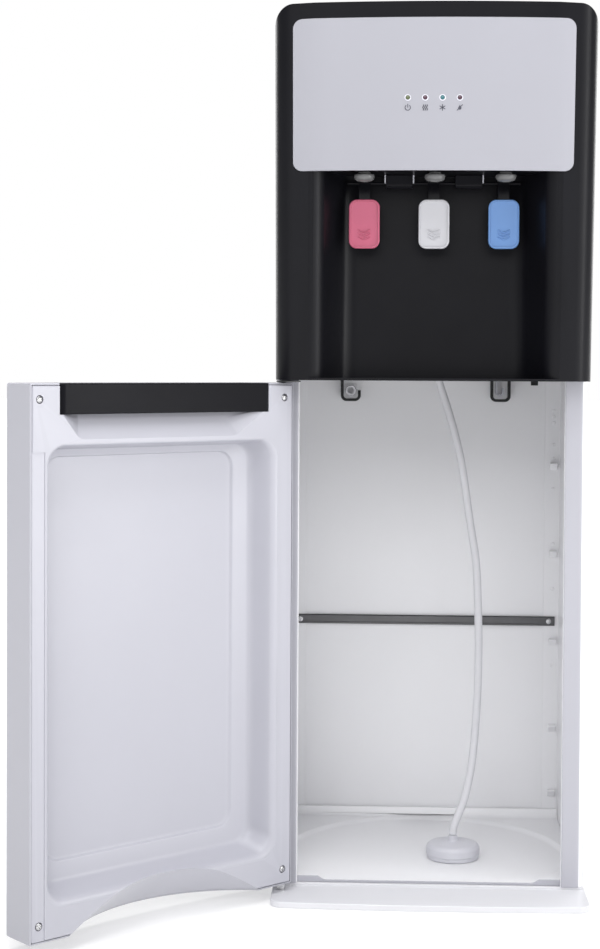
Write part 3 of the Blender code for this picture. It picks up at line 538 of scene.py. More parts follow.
def close_rings(work, rings):
    """Join rings of corners, one after the other, and cap both ends."""
    count = len(rings[0])
    for first, second in zip(rings, rings[1:]):
        for i in range(count):
            j = (i + 1) % count
            work.faces.new((first[i], first[j], second[j], second[i]))
    work.faces.new(rings[0])
    work.faces.new(rings[-1])
    bmesh.ops.recalc_face_normals(work, faces=work.faces)


def prism(name, outline, low, high, frame_of=None):
    """A flat outline made solid from low to high along the third direction."""
    work = bmesh.new()
    rings = [[work.verts.new((x, y, level)) for x, y in outline] for level in (low, high)]
    count = len(outline)
    for i in range(count):
        j = (i + 1) % count
        work.faces.new((rings[0][i], rings[0][j], rings[1][j], rings[1][i]))
    work.faces.new(list(reversed(rings[0])))
    work.faces.new(rings[1])
    bmesh.ops.recalc_face_normals(work, faces=work.faces)
    item = from_bmesh(name, work)
    if frame_of:
        item.data.transform(frame_of)
    return item


FRONT = Matrix.Rotation(math.pi / 2, 4, "X")
SIDE = Matrix(((0, 0, 1, 0), (1, 0, 0, 0), (0, 1, 0, 0), (0, 0, 0, 1)))


def plate(name, outline, low, high):
    """An outline in X and Y from low to high in Z."""
    return prism(name, outline, low, high)


def front_plate(name, outline, near, far):
    """An outline in X and Z from near to far in Y."""
    return prism(name, outline, -far, -near, FRONT)


def side_plate(name, outline, low, high):
    """An outline in Y and Z from low to high in X."""
    return prism(name, outline, low, high, SIDE)


TURNS = {
    "up": Matrix.Identity(4),
    "front": Matrix.Rotation(math.pi / 2, 4, "X"),
    "rear": Matrix.Rotation(-math.pi / 2, 4, "X"),
    "side": Matrix.Rotation(math.pi / 2, 4, "Y"),
}


def turned(name, profile, steps, place=(0.0, 0.0, 0.0), axis="up"):
    """A profile of radius and height, top first, turned about an axis."""
    work = bmesh.new()
    verts = [work.verts.new((radius, 0.0, height)) for radius, height in profile]
    edges = [work.edges.new(pair) for pair in zip(verts, verts[1:])]
    bmesh.ops.spin(work, geom=verts + edges, cent=(0, 0, 0), axis=(0, 0, 1),
                   angle=2 * math.pi, steps=steps, use_merge=True, use_duplicate=False)
    bmesh.ops.remove_doubles(work, verts=work.verts, dist=0.000005)
    bmesh.ops.recalc_face_normals(work, faces=work.faces)
    item = from_bmesh(name, work)
    item.data.transform(Matrix.Translation(place) @ TURNS[axis])
    return item


def disc(radius, top, bottom):
    return ((0.0, top), (radius, top), (radius, bottom), (0.0, bottom))


def fillet(profile, radius, count=4):
    """Round the inner corners of an open profile, as far as its runs allow."""
    points = [Vector(point) for point in profile]
    result = [tuple(points[0])]
    for before, corner, after in zip(points, points[1:], points[2:]):
        back = (before - corner)
        ahead = (after - corner)
        reach = min(radius, back.length * 0.45, ahead.length * 0.45)
        start = corner + back.normalized() * reach
        end = corner + ahead.normalized() * reach
        for i in range(count + 1):
            t = i / count
            result.append(tuple(start * (1 - t) ** 2 + corner * (2 * t * (1 - t))
                                + end * t ** 2))
    result.append(tuple(points[-1]))
    return result


def join(name, items):
    """Several solids as one piece."""
    work = bmesh.new()
    for item in items:
        work.from_mesh(item.data)
        bpy.data.objects.remove(item, do_unlink=True)
    return from_bmesh(name, work)


def tube(name, points, radius, resolution=4):
    item = spline_curve(name, points, radius, resolution)
    bpy.context.view_layer.update()
    graph = bpy.context.evaluated_depsgraph_get()
    mesh = bpy.data.meshes.new_from_object(item.evaluated_get(graph))
    bpy.data.objects.remove(item, do_unlink=True)
    return tidy(add_mesh(name, mesh), 0.000005)


def phillips_screw(name, place, axis, radius, height):
    """A pan head with a cross recess."""
    profile = fillet(((0.0, height), (radius * 0.55, height * 0.96), (radius * 0.9, height * 0.6),
                      (radius, height * 0.15), (radius, 0.0), (0.0, 0.0)), radius * 0.3)
    head = turned(name, profile, 32)
    arm, width = radius * 0.62, radius * 0.13
    for long_x, long_y in ((arm, width), (width, arm)):
        slot = box("slot", (-long_x, -long_y, height * 0.35), (long_x, long_y, height * 1.5))
        boolean(head, slot)
    head.data.transform(Matrix.Translation(place) @ TURNS[axis])
    return head


# ---- cabinet ---------------------------------------------------------------
BASE_HALF = 0.167
BASE_FRONT = -0.1735
BASE_REAR = 0.1735
BASE_BOW = 0.004
BASE_CORNER_R = 0.013
BASE_EDGE = 0.0065
BASE_STEP = 0.0092
PAN_TOP = 0.0160
DISH_FLOOR = 0.0120
DISH_RADIUS = 0.158
DISH_Y = 0.002
PAN_LIP_TOP = 0.0265
BAR_HALF = 0.1585
BAR_Z = (0.2508, 0.2622)


def base_outline():
    points = [(BASE_HALF, BASE_REAR), (-BASE_HALF, BASE_REAR)]
    corner_y = BASE_FRONT + BASE_BOW + BASE_CORNER_R
    points += arc((-BASE_HALF + BASE_CORNER_R, corner_y), BASE_CORNER_R, 180, 265, 10)
    reach = BASE_HALF - BASE_CORNER_R
    for i in range(1, 24):
        x = (-1 + i / 12) * reach
        points.append((x, BASE_FRONT + BASE_BOW * (x / reach) ** 2))
    points += arc((BASE_HALF - BASE_CORNER_R, corner_y), BASE_CORNER_R, 275, 360, 10)
    return points


def make_base():
    base = plate("base", base_outline(), 0.0, BASE_EDGE)
    bevel(base, 0.0011, 3, 60.0)
    step = box("step", (-CAB_HALF + GAP, FRAME_Y + 0.002, BASE_EDGE / 2),
               (CAB_HALF - GAP, BASE_REAR - 0.006, BASE_STEP), 0.0008)
    boolean(base, step, "UNION")
    settle(base, "base_coat", replaces=["base_plate"])


def make_pan():
    """The floor of the bottle space: a pressed dish and an upturned rear lip."""
    half = CAB_HALF - SHEET - GAP
    front = FRAME_Y + 0.006 + GAP
    rear = REAR_Y - GAP
    lip = 0.0058
    side = [(front, CAB_BOTTOM), (rear, CAB_BOTTOM), (rear, PAN_LIP_TOP),
            (rear - lip + 0.002, PAN_LIP_TOP)]
    side += arc((rear - lip - 0.005, PAN_TOP + 0.005), 0.005, 360, 270, 8)
    side.append((front, PAN_TOP))
    pan = side_plate("pan", side, -half, half)
    profile = fillet(((0.0, PAN_TOP + 0.003), (DISH_RADIUS + 0.0045, PAN_TOP + 0.003),
                      (DISH_RADIUS + 0.0005, PAN_TOP - 0.0002),
                      (DISH_RADIUS - 0.004, DISH_FLOOR), (0.0, DISH_FLOOR)), 0.003)
    boolean(pan, turned("dish", profile, 128, (0.0, DISH_Y, 0.0)))
    bevel(pan, 0.0006, 2, 50.0)
    # The pan's inside faces take the brighter painted-light copy of the white steel; its front face
    # takes the outside white.
    settle(pan, "inner_steel_painted_light", replaces=["floor_pan"], angle=50.0)
    second_finish(pan, "white_steel", lambda face: face.center.y < front + SHEET)


def panel_outline():
    """Right-hand C section with bent corners."""
    rear = REAR_Y + SHEET
    outer, inner = 0.008, 0.008 - SHEET
    centre = (CAB_HALF - outer, FRAME_Y + outer)
    back = (CAB_HALF - 0.003, rear - 0.003)
    points = [(OPENING_HALF, FRAME_Y + 0.006)]
    points += arc((OPENING_HALF + 0.0022, FRAME_Y + 0.0022), 0.0022, 180, 270, 6)
    points += arc(centre, outer, 270, 360, 12)
    points += arc(back, 0.003, 0, 90, 6)
    points += [(REAR_OPENING_HALF, rear), (REAR_OPENING_HALF, REAR_Y)]
    points += arc((back[0], REAR_Y - 0.0015), 0.0015, 90, 0, 4)
    points += arc(centre, inner, 360, 270, 12)
    points += arc((OPENING_HALF + 0.0022, FRAME_Y + 0.0022), 0.0007, 270, 180, 4)
    points.append((OPENING_HALF + SHEET, FRAME_Y + 0.006))
    return points


def mirrored(outline):
    return [(-x, y) for x, y in reversed(outline)]


def make_side_panels():
    for name, outline in (("right", panel_outline()), ("left", mirrored(panel_outline()))):
        wall = plate("cabinet_side_" + name, outline, CAB_BOTTOM, CAB_TOP)
        bevel(wall, 0.0004, 2, 60.0)
        settle(wall, "white_steel", replaces=["side_panel_" + name])
        # The panels' inside faces take the brighter painted-light copy of the white steel; their
        # outside stays the outside white.
        second_finish(wall, "inner_steel_painted_light",
                      lambda face: abs(face.center.x) < CAB_HALF - SHEET / 2
                      and face.center.y > FRAME_Y + SHEET / 2)


HOOK_HEIGHTS = (0.4451, 0.3384, 0.2309, 0.1254, 0.0461)
BUMP_HEIGHTS = (0.5126, 0.5053, 0.498, 0.4713, 0.4542, 0.4177, 0.3506, 0.2960, 0.2020)


def make_flange_hooks():
    """Small pressed ledges and bumps on the right rear flange."""
    pieces = []
    for height in HOOK_HEIGHTS:
        side = [(REAR_Y, -0.0045), (REAR_Y, 0.0045), (REAR_Y - 0.0065, 0.0050),
                (REAR_Y - 0.0080, 0.0032), (REAR_Y - 0.0062, 0.0022), (REAR_Y - 0.0022, -0.0036)]
        side = [(y, height + z) for y, z in side]
        hook = side_plate("hook", side, 0.1512, 0.1602)
        pieces.append(bevel(hook, 0.0007, 3))
    for height in BUMP_HEIGHTS:
        profile = fillet(disc(0.0022, 0.0016, 0.0), 0.0014)
        pieces.append(turned("bump", profile, 20, (0.1556, REAR_Y - 0.0001, height), "front"))
    # The hooks take the brighter painted-light copy of the white steel.
    settle(join("flange_hooks", pieces), "inner_steel_painted_light")


LOUVRE_LOW = 0.650
LOUVRE_PITCH = 0.018
LOUVRE_HALF = 0.095
LOUVRE_HEIGHT = 0.006
LOUVRES = 8
WALL_THICK = 0.0012


def louvre_heights():
    return [LOUVRE_LOW + row * LOUVRE_PITCH for row in range(LOUVRES)]


def make_back():
    front = REAR_Y + SHEET + GAP
    half = CAB_HALF - 0.0015
    wall = box("compartment_back", (-half, front, CAB_BOTTOM + GAP),
               (half, front + WALL_THICK, DECK_Z - 0.004))
    boolean(wall, box("slot", (0.1275, front - 0.01, 0.5435), (0.1362, front + 0.01, 0.5492)))
    bevel(wall, 0.0003, 2)
    # The wall's front face takes the brighter painted-light copy of the white steel; its rear face
    # takes the outside white.
    settle(wall, "inner_steel_painted_light", replaces=["back_wall"])
    second_finish(wall, "white_steel", lambda face: face.normal.y > 0.3)
    # A black sheet just behind the slot: painted shadow that makes the slot read dark.
    shadow = box("slot_painted_shadow", (0.1265, front + 0.0011, 0.5425), (0.1372, front + 0.0016, 0.5502))
    settle(bevel(shadow, 0.0002), "black_rubber")
    cover = box("back_cover", (-half, front, DECK_Z), (half, front + SHEET, CAB_TOP))
    for low in louvre_heights():
        edge = rounded_rectangle((-LOUVRE_HALF, low), (LOUVRE_HALF, low + LOUVRE_HEIGHT), 0.0028)
        boolean(cover, front_plate("louvre", edge, front - 0.01, front + 0.01))
    bevel(cover, 0.0003, 2, 50.0)
    settle(cover, "white_steel", replaces=["rear_cover"])
    hoods = []
    for low in louvre_heights():
        side = [(front + SHEET - 0.0002, low + 0.0062), (front + SHEET - 0.0002, low + 0.0085),
                (front + SHEET + 0.0020, low + 0.0070), (front + SHEET + 0.0026, low + 0.0035),
                (front + SHEET + 0.0020, low + 0.0035), (front + SHEET + 0.0012, low + 0.0058)]
        hoods.append(bevel(side_plate("hood", side, -0.094, 0.094), 0.0003, 2, 25.0))
    settle(join("louvre_hoods", hoods), "white_steel")
    screws = []
    for x in (-0.150, 0.150):
        for z in (0.020, 0.300, 0.575, 0.760, 0.915):
            y = front + (WALL_THICK if z < DECK_Z else SHEET)
            screws.append(phillips_screw("screw", (x, y, z), "rear", 0.0036, 0.0016))
    settle(join("rear_screws", screws), "steel")


def make_cross_bar():
    back = REAR_Y - GAP
    front = back - 0.0028
    middle = sum(BAR_Z) / 2
    half = (BAR_Z[1] - BAR_Z[0]) / 2
    side = [(back, middle - half), (back, middle + half), (front + 0.0012, middle + half),
            (front, middle + half - 0.0014), (front, middle - half + 0.0030),
            (front + 0.0012, middle - half + 0.0022), (front + 0.0012, middle - half)]
    bar = bevel(side_plate("bar", side, -BAR_HALF, BAR_HALF), 0.0004, 2, 20.0)
    settle(bar, "galvanised", replaces=["cross_bar"])
    for sign, name in ((-1, "left"), (1, "right")):
        screw = phillips_screw("bar_screw_" + name, (sign * 0.151, front - 0.0001, middle),
                               "front", 0.0035, 0.0018)
        settle(screw, "steel", replaces=["cross_bar_screw_" + name])


def make_top_cover():
    top = CAB_TOP + 0.006
    cover = box("lid", (-CAB_HALF, FRAME_Y, CAB_TOP + GAP), (CAB_HALF, REAR_Y + 0.0035, top),
                0.0026, 5)
    settle(cover, "white_plastic", replaces=["top_cover"])


make_base()
make_pan()
make_side_panels()
make_flange_hooks()
make_back()
make_cross_bar()
make_top_cover()


# ---- head ------------------------------------------------------------------
FASCIA_BOTTOM = 0.5505
FASCIA_TOP = 0.932
FASCIA_FRONT = FRAME_Y - 0.058
FASCIA_LEAN = 0.105
FASCIA_BOW = 0.012
FASCIA_CORNER_R = 0.025
FASCIA_TOP_R = 0.020
ALCOVE_REAR_HALF = 0.0925
ALCOVE_BACK = FRAME_Y - 0.005
ALCOVE_TOP = 0.766
ALCOVE_FLOOR = 0.553
ALCOVE_CORNER_R = 0.025
LIP_R = 0.026                  # round lip from the front face into the alcove
LIP_X = 0.1355
PANEL_X = -0.0026
PANEL_HALF = 0.143
PANEL_Z = (0.7645, 0.916)
PANEL_CORNER_R = 0.0095
PANEL_PROUD = 0.0015
PANEL_POCKET = 0.0022
INDICATOR_Z = 0.8368
INDICATOR_PITCH = 0.0175
INDICATOR_R = 0.0025


def fascia_outline(inset, rear):
    """Plan of the head at its lower edge: bowed front and round corners."""
    half = CAB_HALF - inset
    front = FASCIA_FRONT + inset
    radius = FASCIA_CORNER_R - inset
    corner_y = front + FASCIA_BOW + radius
    reach = half - radius * 0.94
    points = [(half, rear), (-half, rear)]
    points += arc((-half + radius, corner_y), radius, 180, 257, 14)
    for i in range(1, 16):
        x = (-1 + i / 8) * reach
        points.append((x, front + FASCIA_BOW * (x / half) ** 2))
    points += arc((half - radius, corner_y), radius, 283, 360, 14)
    return points


def lean(item):
    """Slide each height forward so that the front leans towards the user."""
    slide = Matrix.Identity(4)
    slide[1][2] = -FASCIA_LEAN
    slide[1][3] = FASCIA_LEAN * FASCIA_BOTTOM
    item.data.transform(slide)
    return item


def front_at(x, z):
    bow = FASCIA_BOW * (x / CAB_HALF) ** 2
    return FASCIA_FRONT + bow - FASCIA_LEAN * (z - FASCIA_BOTTOM)


def round_corner(before, corner, after, radius, count):
    """Points of the arc that rounds the corner between two straight runs."""
    corner = Vector(corner)
    back = (Vector(before) - corner).normalized()
    ahead = (Vector(after) - corner).normalized()
    half = back.angle(ahead) / 2
    centre = corner + (back + ahead).normalized() * radius / math.sin(half)
    first = corner + back * radius / math.tan(half) - centre
    last = corner + ahead * radius / math.tan(half) - centre
    turn = first.angle_signed(last)
    points = []
    for i in range(count + 1):
        spun = Matrix.Rotation(-turn * i / count, 2) @ first
        points.append(tuple(centre + spun))
    return points


def alcove_outline(z):
    """Plan of the alcove at one height: round lips, slanted sides, round corners."""
    face = front_at(LIP_X, z)
    rear = (ALCOVE_REAR_HALF, ALCOVE_BACK)
    side = []
    for i in range(13):
        angle = math.radians(9 + 51 * i / 12)
        side.append((LIP_X - LIP_R * math.sin(angle), face + LIP_R - LIP_R * math.cos(angle)))
    side[0] = (side[0][0], side[0][1] - 0.0001)
    side = [(side[0][0], -0.32)] + side
    side += round_corner(side[-1], rear, (0.0, rear[1]), ALCOVE_CORNER_R, 12)
    return side + [(-x, y) for x, y in reversed(side)]


def alcove_solid(name, low, high):
    """The alcove's room between two heights, its lips following the leaning front."""
    work = bmesh.new()
    rings = []
    for z in (low, high):
        rings.append([work.verts.new((x, y, z)) for x, y in alcove_outline(z)])
    count = len(rings[0])
    for i in range(count):
        j = (i + 1) % count
        work.faces.new((rings[0][i], rings[0][j], rings[1][j], rings[1][i]))
    work.faces.new(rings[0])
    work.faces.new(rings[1])
    bmesh.ops.triangulate(work, faces=work.faces)
    bmesh.ops.recalc_face_normals(work, faces=work.faces)
    return from_bmesh(name, work)


def fascia_body(name, inset, low, high):
    return lean(plate(name, fascia_outline(inset, -0.02), low, high))


def on_crown(place):
    """True on the head's front edge along its top and upper corners."""
    front = place.y < FRAME_Y - 0.028
    corner = abs(place.x) > CAB_HALF - FASCIA_TOP_R and place.z > FASCIA_TOP - FASCIA_TOP_R
    return front and (place.z > FASCIA_TOP - 0.001 or corner)


def make_fascia():
    fascia = fascia_body("head_shell", 0.0, FASCIA_BOTTOM, FASCIA_TOP + 0.01)
    trim = rounded_rectangle((-CAB_HALF, FASCIA_BOTTOM - 0.1), (CAB_HALF, FASCIA_TOP),
                             FASCIA_TOP_R, 16)
    boolean(fascia, front_plate("trim", trim, -0.30, FRAME_Y - GAP), "INTERSECT")
    boolean(fascia, alcove_solid("alcove", ALCOVE_FLOOR, ALCOVE_TOP))
    tidy(fascia)
    weigh_edges(fascia, on_crown)
    bevel(fascia, 0.0045, 5, weights=True)
    clear_weights(fascia)
    boolean(fascia, panel_solid("pocket", 0.0006, PANEL_POCKET + GAP, 0.02))
    bevel(fascia, 0.0005, 2, 48.0)
    settle(fascia, "black_plastic", replaces=["fascia"], angle=40.0)


def panel_solid(name, grow, depth, proud):
    """The slab between two leaning bowed surfaces inside the panel's outline."""
    item = fascia_body(name, -proud, PANEL_Z[0] - 0.03, PANEL_Z[1] + 0.03)
    low = (PANEL_X - PANEL_HALF - grow, PANEL_Z[0] - grow)
    high = (PANEL_X + PANEL_HALF + grow, PANEL_Z[1] + grow)
    edge = rounded_rectangle(low, high, PANEL_CORNER_R + grow, 14)
    boolean(item, front_plate(name + "_edge", edge, -0.30, -0.13), "INTERSECT")
    boolean(item, fascia_body(name + "_core", depth, PANEL_Z[0] - 0.04, PANEL_Z[1] + 0.04))
    return tidy(item)


def indicator_places():
    first = PANEL_X - 1.5 * INDICATOR_PITCH
    return [first + i * INDICATOR_PITCH for i in range(4)]


def make_panel():
    panel = panel_solid("indicator_panel", 0.0, PANEL_POCKET, PANEL_PROUD)
    for x in indicator_places():
        y = front_at(x, INDICATOR_Z)
        boolean(panel, turned("hole", disc(INDICATOR_R + GAP, 0.02, -0.02), 40,
                              (x, y, INDICATOR_Z), "front"))
    bevel(panel, 0.0009, 4, 50.0)
    settle(panel, "panel_plastic", replaces=["display_panel"])
    finishes = ("lens_green", "lens_red", "lens_teal", "lens_red")
    names = ("power", "hot", "cold", "no_water")
    tops = []
    for name, finish, x in zip(names, finishes, indicator_places()):
        y = front_at(x, INDICATOR_Z) - PANEL_PROUD
        r = INDICATOR_R
        profile = [(0.0, 0.0005)] + [(r * 0.9 * math.sin(a * 0.26), 0.0005 * math.cos(a * 0.26))
                                     for a in range(1, 7)]
        profile += [(r * 0.92, -0.0060), (0.0, -0.0060)]
        lens = turned("lamp_" + name, profile, 40, (x, y, INDICATOR_Z), "front")
        settle(lens, finish, replaces=["indicator_" + name])
        ring = fillet(((r * 0.95, 0.0), (r * 0.98, 0.00035), (r * 1.28, 0.00025),
                       (r * 1.34, -0.0004), (r * 0.95, -0.0004), (r * 0.95, 0.0)), 0.0002)
        tops.append(turned("ring", ring, 40, (x, y, INDICATOR_Z), "front"))
    settle(join("lamp_rings", tops), "halo")


def on_panel(name, outline, x, z, thick=0.00022):
    """A thin printed shape lying on the panel's leaning face."""
    mark = prism(name, outline, 0.0, thick)
    tilt = Matrix.Rotation(math.pi / 2 + math.atan(FASCIA_LEAN), 4, "X")
    y = front_at(x, z) - PANEL_PROUD + 0.00004
    mark.data.transform(Matrix.Translation((x, y, z)) @ tilt)
    return mark


def bar_shape(a, b, width):
    """A round-ended stroke from a to b."""
    ahead = Vector(b) - Vector(a)
    angle = math.degrees(math.atan2(ahead.y, ahead.x))
    return (arc(b, width / 2, angle - 90, angle + 90, 6)
            + arc(a, width / 2, angle + 90, angle + 270, 6))


def ring_part(radius, width, start, end):
    return (arc((0, 0), radius + width / 2, start, end, 24)
            + arc((0, 0), radius - width / 2, end, start, 24))


def drop_shape(size):
    side = arc((0.0, -size * 0.2), size * 0.62, 150, 390, 20)
    return side + [(size * 0.18, size * 0.62), (0.0, size)]


def make_pictograms():
    """Generic marks under the lamps: power, rising heat, snow crystal, crossed drop."""
    power, hot, cold, dry = indicator_places()
    z = INDICATOR_Z - 0.0100
    size, line = 0.0027, 0.00080
    marks = [on_panel("mark", ring_part(size, line, 125, 415), power, z),
             on_panel("mark", bar_shape((0.0, size * 0.1), (0.0, size * 1.25), line), power, z)]
    for shift in (-1, 0, 1):
        wave = [(shift * 0.0019 + 0.0005 * math.sin(t * 0.9), -size + t * size * 0.2)
                for t in range(11)]
        for a, b in zip(wave, wave[1:]):
            marks.append(on_panel("mark", bar_shape(a, b, line), hot, z))
    for spoke in range(3):
        turn = math.radians(90 + 60 * spoke)
        tip = (size * 1.1 * math.cos(turn), size * 1.1 * math.sin(turn))
        marks.append(on_panel("mark", bar_shape((-tip[0], -tip[1]), tip, line), cold, z))
    marks.append(on_panel("mark", drop_shape(size), dry, z))
    marks.append(on_panel("mark", bar_shape((-size, -size), (size, size), line), dry, z, 0.0003))
    settle(join("panel_marks", marks), "ink")


# ---- taps ------------------------------------------------------------------
TAP_NAMES = ("hot", "room", "cold")
TAP_PITCH = 0.0727
NOZZLE_Y = FRAME_Y - 0.055
NOZZLE_Z = 0.7562
SHAFT_Y = FRAME_Y - 0.018
SHAFT_Z = 0.7575
SHAFT_R = 0.0015
AXLE_CLIPS_X = (-0.0512, -0.0215, 0.0512)
BOSS_DROP = 0.0135
PADDLE_HALF = 0.0161
PADDLE_Z = (0.6884, 0.7396)
PADDLE_FACE_Y = FRAME_Y - 0.032
PADDLE_THICK = 0.006


def make_nozzles():
    profile = ((0.0036, 0.0098), (0.0064, 0.0098), (0.0066, 0.0076), (0.0104, 0.0073),
               (0.0108, 0.0052), (0.0100, 0.0022), (0.0074, 0.0004), (0.0058, 0.0),
               (0.0044, 0.0002), (0.0036, 0.0014), (0.0036, 0.0098))
    for i, name in enumerate(TAP_NAMES):
        place = ((i - 1) * TAP_PITCH, NOZZLE_Y, NOZZLE_Z - 0.0006)
        spout = turned("spout_" + name, fillet(profile, 0.0012), 56, place)
        settle(spout, "clear_grey", replaces=["nozzle_" + name])
        core = fillet(((0.0, 0.0094), (0.0033, 0.0094), (0.0033, 0.0030), (0.0, 0.0030)), 0.0004)
        settle(turned("spout_core_" + name, core, 32, place), "white_plastic")


def chevron(width, drop, line):
    """A V stroke, its point down."""
    half = width / 2
    return [(-half, drop / 2), (0.0, -drop / 2), (half, drop / 2), (half, drop / 2 + line),
            (0.0, -drop / 2 + line), (-half, drop / 2 + line)]


def make_paddle(name, x, finish):
    low, high = (-PADDLE_HALF, PADDLE_Z[0]), (PADDLE_HALF, PADDLE_Z[1])
    near, back = PADDLE_FACE_Y, PADDLE_FACE_Y + PADDLE_THICK
    paddle = front_plate("press_" + name, rounded_rectangle(low, high, 0.0085, 14), near, back)
    bevel(paddle, 0.0014, 4, 50.0)
    rim = 0.0020
    face = rounded_rectangle((low[0] + rim, low[1] + rim), (high[0] - rim, high[1] - rim),
                             0.0065, 14)
    boolean(paddle, front_plate("dent", face, near - 0.01, near + 0.0014))
    bevel(paddle, 0.0003, 2, 50.0)
    marks = []
    for row in range(3):
        outline = [(u, PADDLE_Z[0] + 0.0105 + row * 0.0036 + v)
                   for u, v in chevron(0.0124, 0.0030, 0.0010)]
        marks.append(bevel(front_plate("chevron", outline, near - 0.0001, near + 0.0018),
                           0.00025, 1))
    piece = join("press_" + name, [paddle] + marks)
    piece.data.transform(Matrix.Translation((x, 0.0, 0.0)))
    settle(piece, finish, "paddle_" + name, ["paddle_" + name])


def make_arm(name, x):
    hub = 0.0042
    reach = PADDLE_FACE_Y + PADDLE_THICK - SHAFT_Y
    foot = PADDLE_Z[0] + 0.012 - SHAFT_Z
    side = [(-hub, -0.002), (reach + GAP, -0.016), (reach + GAP, foot),
            (reach + GAP + 0.003, foot), (reach + GAP + 0.004, -0.016), (hub, -0.002)]
    side += arc((0.0, 0.0), hub, 0, 180, 24)
    arm = side_plate("arm_" + name, side, -0.006, 0.006)
    boolean(arm, turned("bore", disc(SHAFT_R + GAP, 0.02, -0.02), 32, axis="side"))
    bevel(arm, 0.0005, 3, 50.0)
    arm.data.transform(Matrix.Translation((x, SHAFT_Y, SHAFT_Z)))
    settle(arm, "black_plastic", "paddle_" + name, ["lever_" + name])


def make_bosses():
    shaft = turned("axle", fillet(disc(SHAFT_R, TAP_PITCH + 0.018, -TAP_PITCH - 0.018), 0.0004),
                   32, (0.0, SHAFT_Y, SHAFT_Z), "side")
    settle(shaft, "black_plastic", replaces=["lever_shaft"])
    clips = []
    for x in AXLE_CLIPS_X:
        side = [(0.0045, 0.0), (-0.0050, 0.0), (-0.0040, -0.0085), (0.0020, -0.0085)]
        clip = side_plate("clip", side, x - 0.0007, x + 0.0007)
        clip.data.transform(Matrix.Translation((0.0, SHAFT_Y - 0.004, ALCOVE_TOP - GAP)))
        clips.append(bevel(clip, 0.0003, 2))
    settle(join("axle_clips", clips), "white_plastic")
    for sign, name in ((-1, "left"), (1, "right")):
        middle = sign * TAP_PITCH / 2
        shoulder = -BOSS_DROP + 0.003
        outline = [(-0.0062, 0.0), (-0.0062, shoulder), (-0.0032, -BOSS_DROP),
                   (0.0032, -BOSS_DROP), (0.0062, shoulder), (0.0062, 0.0)]
        boss = side_plate("boss_" + name, outline, middle - 0.0140, middle + 0.0140)
        boss.data.transform(Matrix.Translation((0.0, SHAFT_Y, ALCOVE_TOP - GAP)))
        boolean(boss, turned("bore", disc(SHAFT_R + GAP, 0.03, -0.03), 32,
                             (middle, SHAFT_Y, SHAFT_Z), "side"))
        bevel(boss, 0.0006, 3, 40.0)
        settle(boss, "black_plastic", replaces=["pivot_boss_" + name])


def make_taps():
    finishes = ("red_plastic", "paddle_white", "blue_plastic")
    for i, (name, finish) in enumerate(zip(TAP_NAMES, finishes)):
        x = (i - 1) * TAP_PITCH
        make_paddle(name, x, finish)
        make_arm(name, x)


make_fascia()
make_panel()
make_pictograms()
make_nozzles()
make_taps()
make_bosses()


# ---- rear ------------------------------------------------------------------
COIL_Y = 0.1800
COIL_R = 0.0024
WIRE_Z = (0.118, 0.542)
WIRE_HALF = 0.1075
WIRES = 34


def condenser_points():
    """A flat serpentine: straight runs joined by round turns."""
    half, pitch, low, runs = 0.115, 0.040, 0.130, 11
    points = []
    for run in range(runs):
        side = 1 if run % 2 == 0 else -1
        height = low + run * pitch
        for step in range(13):
            points.append((-side * half + side * 2 * half * step / 12, COIL_Y, height))
        if run < runs - 1:
            for step in range(1, 12):
                angle = math.radians(-90 + 15 * step)
                points.append((side * (half + pitch / 2 * math.cos(angle)), COIL_Y,
                               height + pitch / 2 + pitch / 2 * math.sin(angle)))
    return points


def make_condenser():
    coil = tube("coil", condenser_points(), COIL_R, 4)
    settle(coil, "coil_paint", replaces=["condenser_coil"], angle=60.0)
    wires = []
    for i in range(WIRES):
        x = WIRE_HALF * (2 * i / (WIRES - 1) - 1)
        for y in (0.1772, 0.1814):
            line = [(x, y, WIRE_Z[0]), (x, y, sum(WIRE_Z) / 2), (x, y, WIRE_Z[1])]
            wires.append(tube("wire", line, 0.0007, 1))
    settle(join("coil_wires", wires), "coil_paint", angle=60.0)


def make_rear():
    back = REAR_Y + SHEET + GAP + SHEET + GAP
    for sign, name in ((-1, "left"), (1, "right")):
        x = sign * 0.080
        low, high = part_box("condenser_rail_" + name)
        rail = box("rail_" + name, low, high, 0.0009)
        for z in (0.125, 0.533):
            boolean(rail, turned("hole", disc(0.0022, 0.02, -0.02), 24, (x, high[1], z), "rear"))
        bevel(rail, 0.0003, 2, 50.0)
        settle(rail, "coil_paint", replaces=["condenser_rail_" + name])
    gland = fillet(((0.0, 0.0060), (0.0030, 0.0060), (0.0036, 0.0140), (0.0052, 0.0138),
                    (0.0066, 0.0120), (0.0075, 0.004), (0.011, 0.0035), (0.011, 0.0),
                    (0.0, 0.0)), 0.0008)
    settle(turned("lead_gland", gland, 48, (0.120, back, 0.605), "rear"), "black_rubber",
           replaces=["cord_gland"])
    drain = fillet(((0.0, 0.0112), (0.0030, 0.0112), (0.0040, 0.012), (0.009, 0.012),
                    (0.011, 0.010), (0.011, 0.003), (0.014, 0.0025), (0.014, 0.0), (0.0, 0.0)),
                   0.0008)
    plug = turned("drain", drain, 48, (-0.120, back, 0.600), "rear")
    for i in range(12):
        angle = 2 * math.pi * i / 12
        place = (-0.120 + 0.0112 * math.cos(angle), back, 0.600 + 0.0112 * math.sin(angle))
        boolean(plug, turned("groove", disc(0.0009, 0.0135, 0.0036), 12, place, "rear"))
    settle(plug, "white_plastic", replaces=["drain_plug"], angle=30.0)


SWITCH_X = -0.035
SWITCH_Z = 0.605


